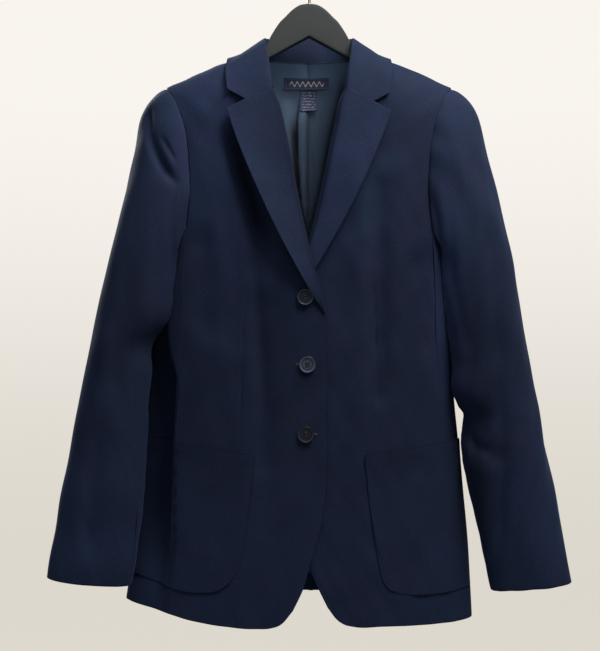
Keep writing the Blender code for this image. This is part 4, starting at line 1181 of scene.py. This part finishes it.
def hanger(finish):
    """A flat arch cut out, given its thickness, and rounded along its edges."""
    x = HANGER_DOME["x"][-1] * np.linspace(-1, 1, 141)
    top = smooth(HANGER_DOME, "top", np.abs(x), by="x")
    under = smooth(HANGER_UNDER, "under", np.abs(x), by="x")
    z = np.array([under + (top - under) * share for share in np.linspace(0, 1, 9)])
    points = np.stack([x + 0 * z, 0 * z - HANGER_THICK / 2, z], axis=-1)
    piece = lay_grid("hanger_arch", points)
    edit(piece)
    bpy.ops.mesh.extrude_region_move(TRANSFORM_OT_translate={"value": (0, HANGER_THICK, 0)})
    bpy.ops.mesh.select_all(action="SELECT")
    bpy.ops.mesh.normals_make_consistent(inside=False)
    bpy.ops.object.mode_set(mode="OBJECT")
    bevel(piece, HANGER_ROUND, 4, 60)
    finish_piece(piece, finish, ["hanger"])


def hook(finish):
    """Round wire from the hanger up and over the rail, with a ball on its end."""
    radius = HOOK_INSIDE + HOOK_WIRE
    turns = np.radians(np.linspace(*HOOK_SWEEP, 60))
    bend = [(radius * np.cos(a), 0, -HOOK_INSIDE + radius * np.sin(a)) for a in turns]
    stem = [(x, 0, z) for x, z in zip(*HOOK_STEM.values())]
    wire = tube("wire", np.vstack([rounded(stem + bend[:1])[:-1], bend]), HOOK_WIRE, sides=20)
    bpy.ops.mesh.primitive_uv_sphere_add(
        segments=24, ring_count=14, radius=HOOK_WIRE * 1.25, location=bend[-1])
    ball = bpy.context.active_object
    washer = cylinder(32, HOOK_COLLAR, 0.0024, (0, 0, HANGER_DOME["top"][0]))
    ball.data.uv_layers[0].name = washer.data.uv_layers[0].name = "cut"
    bevel(washer, 0.0006, 3, 50)
    piece = joined("hook_wire", [wire, ball, washer])
    bpy.ops.object.transform_apply()
    finish_piece(piece, finish, ["hook"])


BUTTON_RADIUS = 0.0105
BUTTON_THICK = 0.0034
BUTTON_RIM = 0.0022
BUTTON_DISH = 0.0013
BUTTON_STEP = 0.0012  # inside the rim
BUTTONHOLE_HALF = 0.011
BUTTONHOLE_TALL = 0.0011
BUTTONHOLE_SHIFT = (0, -0.0036, 0.0034)
HANGER_ROUND = 0.0022
HOOK_COLLAR = 0.0042


# Finishes

class Value:
    """A socket that adds its maths as nodes when it is used in an expression."""

    def __init__(self, finish, socket):
        self.finish, self.socket = finish, socket

    def __add__(self, other):
        return self.finish.maths("ADD", self, other)

    def __sub__(self, other):
        return self.finish.maths("SUBTRACT", self, other)

    def __rsub__(self, other):
        return self.finish.maths("SUBTRACT", other, self)

    def __mul__(self, other):
        return self.finish.maths("MULTIPLY", self, other)

    def __truediv__(self, other):
        return self.finish.maths("DIVIDE", self, other)

    __radd__, __rmul__ = __add__, __mul__


class Finish:
    """One material, built up from its Principled shader."""

    def __init__(self, name, **constants):
        self.material = bpy.data.materials.new(name)
        self.material.use_nodes = True
        self.tree = self.material.node_tree
        self.shader = self.tree.nodes["Principled BSDF"]
        for key, value in constants.items():
            self.shader.inputs[key.replace("_", " ")].default_value = value

    def node(self, kind, inputs=None, output=0, **settings):
        made = self.tree.nodes.new("ShaderNode" + kind)
        for key, value in settings.items():
            setattr(made, key, value)
        for key, value in (inputs or {}).items():
            self.feed(made.inputs[key], value)
        return Value(self, made.outputs[output])

    def feed(self, socket, value):
        if isinstance(value, Value):
            self.tree.links.new(value.socket, socket)
        else:
            socket.default_value = value

    def maths(self, operation, *values):
        return self.node("Math", dict(enumerate(values)), operation=operation)

    def sine(self, value):
        return self.maths("SINE", value)

    def mix(self, share, first, second, blend="MIX"):
        """A colour between two, each three numbers or a socket."""
        first, second = (c if isinstance(c, Value) else (*c, 1) for c in (first, second))
        return self.node("Mix", {0: share, 6: first, 7: second}, output=2, data_type="RGBA",
                         blend_type=blend)

    def with_painted_shading(self, colour, reach, darker):
        """The colour with painted shade along its edges and seams, then made lighter or darker by
        each point's painted light and shade share.
        """
        press_and_edge_shade = 1 - self.band(self.attribute("border"), *reach)
        shade = self.mix(press_and_edge_shade * darker, (1, 1, 1), (0, 0, 0))
        colour = self.mix(1.0, colour, shade, "MULTIPLY")
        return self.node("VectorMath", {0: colour, 3: self.attribute("tone")}, operation="SCALE")

    def attribute(self, name):
        return self.node("Attribute", output=2, attribute_name=name)

    def noise(self, place, scale, detail=2.0, roughness=0.5, stretch=None):
        if stretch:
            place = self.node("Mapping", {"Vector": place, "Scale": stretch})
        return self.node("TexNoise", {"Vector": place, "Scale": scale, "Detail": detail,
                                      "Roughness": roughness})

    def band(self, value, low, high):
        """0 below low and 1 above high, smooth between."""
        return self.node("MapRange", {"Value": value, "From Min": low, "From Max": high},
                         interpolation_type="SMOOTHSTEP")

    def cut_map(self):
        """The place on the flat cloth: as a vector, across and along."""
        place = self.node("UVMap", uv_map="cut")
        across = self.node("SeparateXYZ", {0: place})
        return place, across, Value(self, across.socket.node.outputs[1])

    def object_place(self):
        return self.node("TexCoord", output=3)

    def surface(self, colour, roughness=None, height=None):
        self.feed(self.shader.inputs["Base Color"], colour)
        if roughness is not None:
            self.feed(self.shader.inputs["Roughness"], roughness)
        if height is not None:
            bump = self.node("Bump", {"Strength": 1.0, "Distance": 1.0, "Height": height})
            self.feed(self.shader.inputs["Normal"], bump)
        return self.material


def worsted(name, dark, light):
    """Fine twilled wool: slanting ribs, fibre fuzz and faint mottling."""
    finish = Finish(name, Sheen_Weight=0.1, Sheen_Roughness=0.45,
                    Sheen_Tint=(0.3, 0.42, 0.75, 1), Specular_IOR_Level=0.12)
    place, across, along = finish.cut_map()
    rib = finish.sine((across + along) * (2 * pi / TWILL))
    thread = finish.sine((across - along * 0.35) * (2 * pi / TWILL * 1.9))
    fibre = finish.noise(place, 2600, 3, 0.65)
    fleck = finish.noise(place, 420, 2, 0.6)
    cloud = finish.noise(place, 26, 3, 0.55)
    shade = fleck * 0.55 + cloud * 0.25 + rib * 0.06 + thread * 0.03 + 0.1
    colour = finish.mix(finish.band(shade, 0.3, 0.72), dark, light)
    warm = finish.band(finish.noise(place, 15, 2, 0.5), 0.38, 0.62)
    colour = finish.mix(1.0, colour, finish.mix(warm, COOL_TINT, WARM_TINT), "MULTIPLY")
    # Painted shade along the cloth's edges and seams, and painted light and shade by each point's
    # share.
    colour = finish.with_painted_shading(colour, EDGE_SHADE_REACH, EDGE_SHADE)
    return finish.surface(colour, 0.74 + fibre * 0.16, fibre * 0.00006 + fleck * 0.00008)


def satin(name):
    """The lining: smooth slanting weave, slate blue with a soft gloss."""
    finish = Finish(name, Sheen_Weight=0.1, Sheen_Roughness=0.35, Specular_IOR_Level=0.3,
                    Anisotropic=0.4)
    place, across, along = finish.cut_map()
    rib = finish.sine((across * 0.5 + along) * (2 * pi / 0.00032))
    cloud = finish.noise(place, 40, 3, 0.5)
    wrinkle = finish.noise(place, 85, 2, 0.5, stretch=(1.0, 0.25, 1.0))
    colour = finish.mix(cloud, LINING_DARK, LINING_LIGHT)
    # Painted shade along the lining's edges, and painted light and shade by each point's share.
    colour = finish.with_painted_shading(colour, (0.001, 0.0026), 0.75)
    return finish.surface(colour, 0.46 + cloud * 0.14, rib * 0.00001 + wrinkle * 0.00025)


def woven_tape(name, half_wide, tall):
    """A woven label without words: a border, and a gold wave or rows of pale dashes."""
    finish = Finish(name, Sheen_Weight=0.04, Sheen_Tint=(0.3, 0.4, 0.8, 1), Specular_IOR_Level=0.25)
    place, across, along = finish.cut_map()
    rib = finish.sine(along * (2 * pi / 0.00042))
    weft = finish.sine(across * (2 * pi / 0.0006))
    side = half_wide - finish.maths("ABSOLUTE", across)
    end = finish.maths("MINIMUM", along, tall - along)
    edge = finish.maths("MINIMUM", side, end)
    line = finish.band(edge, 0.0009, 0.0012) * (1 - finish.band(edge, 0.0014, 0.0017))
    fleck = finish.noise(place, 900, 2, 0.6)
    inside = 1 - finish.band(finish.maths("ABSOLUTE", across), half_wide * 0.74, half_wide * 0.78)
    if name.startswith("neck"):
        wave = finish.sine(across * 820) * (tall * 0.17)
        away = finish.maths("ABSOLUTE", along - tall / 2 - wave)
        mark = 1 - finish.band(away, 0.001, 0.0016)
        worked = TAPE_GOLD
    else:
        row = finish.band(finish.sine(along * (2 * pi / 0.0042)), 0.05, 0.35)
        dash = finish.noise(place, 260, 1, 0.5, stretch=(1.0, 2.6, 1.0))
        mark = row * finish.band(dash, 0.46, 0.52)
        worked = TAPE_PALE
    ground = finish.mix(line * 0.8, finish.mix(fleck, TAPE_DARK, TAPE_LIGHT), TAPE_BORDER)
    colour = finish.mix(mark * inside, ground, worked)
    height = rib * 0.00002 + weft * 0.000012 + line * 0.00012
    return finish.surface(colour, 0.5 + fleck * 0.12, height)


def sewing_thread(name):
    finish = Finish(name, Sheen_Weight=0.25, Specular_IOR_Level=0.4)
    place = finish.object_place()
    twist = finish.noise(place, 2400, 2, 0.5)
    colour = finish.mix(twist, THREAD_DARK, THREAD_LIGHT)
    return finish.surface(colour, 0.55 + twist * 0.2, twist * 0.00012)


def horn_plastic(name):
    """Dark moulded buttons with a dark groove. The grey rim and the lighter dish are a painted
    reflection, as strong as each button's share; the cloud is the plastic's own faint mottle.
    """
    finish = Finish(name, Coat_Roughness=0.12, Specular_IOR_Level=0.4, Coat_Weight=0.12)
    place = finish.object_place()
    cloud = finish.noise(place, 260, 3, 0.6, stretch=(1.0, 1.0, 0.35))
    scratch = finish.noise(place, 2200, 2, 0.5)
    ring = finish.attribute("ring")
    # Painted reflection on the rim and the dish, scaled by the button's share.
    rim = finish.band(ring, 0.0078, 0.0084) * (1 - finish.band(ring, 0.0096, 0.0104))
    dish = finish.band(ring, 0.0028, 0.0036) * (1 - finish.band(ring, 0.0056, 0.0064))
    glint_share = finish.attribute("lightened")
    lightened = (rim + dish * 0.45 + glint_share * 0.4) * glint_share + finish.band(cloud, 0.45, 0.75) * 0.1
    colour = finish.mix(lightened, BUTTON_DARK, BUTTON_PAINTED_GLINT)
    return finish.surface(colour, 0.2 + scratch * 0.12, scratch * 0.00001)


def moulded_black(name):
    """The hanger's matt black plastic with a fine moulded grain."""
    finish = Finish(name, Specular_IOR_Level=0.42)
    place = finish.object_place()
    grain = finish.noise(place, 1500, 2, 0.55)
    cloud = finish.noise(place, 22, 3, 0.55)
    scuff = finish.noise(place, 160, 4, 0.65, stretch=(0.25, 1.0, 1.0))
    lightened = finish.band(scuff, 0.6, 0.78)
    colour = finish.mix(cloud, HANGER_DARK, HANGER_LIGHT)
    colour = finish.mix(lightened * 0.35, colour, HANGER_WORN)
    return finish.surface(colour, 0.46 + grain * 0.14 - lightened * 0.08, grain * 0.00005)


def brass(name):
    finish = Finish(name, Metallic=1.0)
    place = finish.object_place()
    stain = finish.noise(place, 120, 3, 0.6)
    drawn = finish.noise(place, 900, 2, 0.5, stretch=(1.0, 1.0, 0.1))
    colour = finish.mix(finish.band(stain, 0.4, 0.75), BRASS_BRIGHT, BRASS_STAINED)
    return finish.surface(colour, 0.22 + stain * 0.16, drawn * 0.00001)


TWILL = 0.00062  # from rib to rib
COOL_TINT, WARM_TINT = (0.93, 1.03, 1.02), (1.07, 0.965, 1.0)
EDGE_SHADE_REACH = (0.0003, 0.0013)  # painted shade: cloth is darker from an edge to here, at seams and free edges alike
EDGE_SHADE = 0.42
NAVY_DARK, NAVY_LIGHT = (0.0088, 0.0142, 0.0354), (0.0174, 0.0266, 0.0606)
LINING_DARK, LINING_LIGHT = (0.092, 0.152, 0.255), (0.13, 0.198, 0.312)
TAPE_DARK, TAPE_LIGHT = (0.046, 0.06, 0.135), (0.064, 0.082, 0.17)
TAPE_BORDER = (0.15, 0.18, 0.31)
TAPE_GOLD, TAPE_PALE = (0.62, 0.58, 0.48), (0.34, 0.36, 0.44)
# Button plastic, and the colour of the painted reflection on it
BUTTON_DARK, BUTTON_PAINTED_GLINT = (0.004, 0.005, 0.009), (0.072, 0.09, 0.135)
BUTTON_GLINT_SHARE = (0.34, 0.95, 0.26)  # share of painted reflection on each button's rim and dish, from the top
HANGER_DARK, HANGER_LIGHT = (0.03, 0.033, 0.034), (0.041, 0.045, 0.046)
HANGER_WORN = (0.11, 0.11, 0.112)
THREAD_DARK, THREAD_LIGHT = (0.01, 0.014, 0.028), (0.035, 0.044, 0.075)
BRASS_BRIGHT, BRASS_STAINED = (0.78, 0.66, 0.44), (0.6, 0.48, 0.3)


# Stage, light and camera

def wall_and_floor():
    """A pale floor that sweeps up all round into a wall, far enough off to look from any side."""
    radius, floor, sweep, top = STAGE
    turns = np.linspace(0, pi / 2, 15)
    flat = radius - sweep
    profile = [(r, floor) for r in np.linspace(0.0003, flat, 8)[:-1]]
    profile += [(flat + sweep * np.sin(t), floor + sweep * (1 - np.cos(t))) for t in turns]
    profile += [(radius, z) for z in np.linspace(floor + sweep, top, 6)[1:]]
    around = np.linspace(0, 2 * pi, 97)
    points = np.array([[(r * np.cos(a), r * np.sin(a), z) for a in around] for r, z in profile])
    stage = lay_grid("stage", points[:, ::-1])
    bpy.ops.object.shade_smooth()
    finish = Finish("stage_painted_light", Specular_IOR_Level=0.1, Roughness=0.9)
    place = finish.object_place()
    parts = finish.node("SeparateXYZ", {0: place}, output=2)
    high = finish.band(parts, *WALL_FADE)
    paint = finish.noise(place, 14, 3, 0.5)
    colour = finish.mix(high, WALL_LOW, WALL_HIGH)
    # The stage glows by itself instead of being lit: painted light, brighter towards the top.
    finish.feed(finish.shader.inputs["Emission Color"], colour)
    finish.shader.inputs["Emission Strength"].default_value = WALL_GLOW
    finish.surface((0.02, 0.02, 0.02, 1), height=paint * 0.002)
    stage.data.materials.clear()
    stage.data.materials.append(finish.material)
    stage.visible_diffuse = stage.visible_glossy = stage.visible_shadow = False


def lamp(name, place, size, power, colour):
    """A soft round light that looks at the blazer's chest."""
    light = bpy.data.lights.new(name, "AREA")
    light.shape, light.size, light.energy, light.color = "DISK", size, power, colour
    thing = bpy.data.objects.new(name, light)
    bpy.context.scene.collection.objects.link(thing)
    thing.location = place
    thing.rotation_euler = (Vector(LIT) - Vector(place)).to_track_quat("-Z", "Y").to_euler()
    thing.visible_camera = False
    thing.visible_glossy = name != "back_fill"
    if name in LIT_ALONE:
        lit = bpy.data.collections.new(name)
        for piece in LIT_ALONE[name]:
            lit.objects.link(bpy.data.objects[piece])
        thing.light_linking.receiver_collection = lit


def lights():
    for row in LAMPS:
        lamp(*row)
    world = bpy.data.worlds.new("room")
    bpy.context.scene.world = world
    world.use_nodes = True
    sky = world.node_tree.nodes["Background"]
    sky.inputs["Color"].default_value = (*ROOM_COLOUR, 1)
    sky.inputs["Strength"].default_value = ROOM_LIGHT


def camera():
    lens = bpy.data.cameras.new("camera")
    lens.lens, lens.sensor_width = CAMERA_LENS, 36
    lens.clip_start, lens.clip_end = 0.05, 30
    thing = bpy.data.objects.new("camera", lens)
    bpy.context.scene.collection.objects.link(thing)
    thing.location = CAMERA_AT
    thing.rotation_euler = (pi / 2, 0, 0)
    bpy.context.scene.camera = thing


STAGE = (4.2, -1.6, 1.5, 3.2)  # radius, floor height, radius of the sweep, top
WALL_FADE = (-1.9, 0.9)  # heights between which the wall's painted light grows brighter
WALL_LOW, WALL_HIGH = (0.7, 0.66, 0.59), (0.94, 0.9, 0.85)
WALL_GLOW = 1.0
LIT = (0.0, 0.0, -0.42)
LAMPS = (
    ("key", (0.6, -0.6, 0.9), 0.8, 28, (1.0, 0.975, 0.94)),
    ("fill", (-0.45, -0.55, 1.1), 0.9, 5.2, (0.9, 0.95, 1.0)),
    ("neck_light", (0.2, -1.2, -0.26), 0.3, 1.0, (1.0, 0.98, 0.96)),
    ("hanger_light", (0.75, -0.45, -0.55), 0.3, 1.9, (1.0, 0.98, 0.96)),
    ("back_key", (-1.6, 2.0, 0.9), 1.0, 50, (1.0, 0.98, 0.95)),
    ("back_fill", (1.7, 1.5, 0.0), 1.4, 12, (0.93, 0.96, 1.0)),
)
ROOM_COLOUR = (0.9, 0.95, 1.0)
ROOM_LIGHT = 0.19
LIT_ALONE = {  # lamps that light only these pieces
    "neck_light": (
        "lining_right_cloth", "lining_left_cloth", "neck_label_cloth", "size_label_cloth"),
    "hanger_light": ("hanger_arch",),
}
CAMERA_AT = (-0.01205, -1.255, -0.504)
CAMERA_LENS = 51.8433


def main():
    wool = worsted("navy_wool_cloth", NAVY_DARK, NAVY_LIGHT)
    lining_satin = satin("slate_satin")
    thread = sewing_thread("navy_thread")
    hanger(moulded_black("hanger_black"))
    hook(brass("hook_wire_brass"))
    surface = {}
    for side in SIGN:
        surface[side] = front(side, wool)
        side_panel(side, wool)
        back(side, wool)
        lapel(side, wool)
        sleeves(side, wool)
        pocket(side, wool)
        lining(side, lining_satin)
    collar(wool)
    for name, (left, right, low, high) in LABELS.items():
        tape = woven_tape(name + "_tape", (right - left) / 2, high - low)
        label(name, tape)
    buttons(surface["right"], horn_plastic("button_horn"), thread)
    buttonholes(surface["right"], thread)
    wall_and_floor()
    lights()
    camera()
    bpy.context.scene.view_settings.view_transform = "Standard"


main()
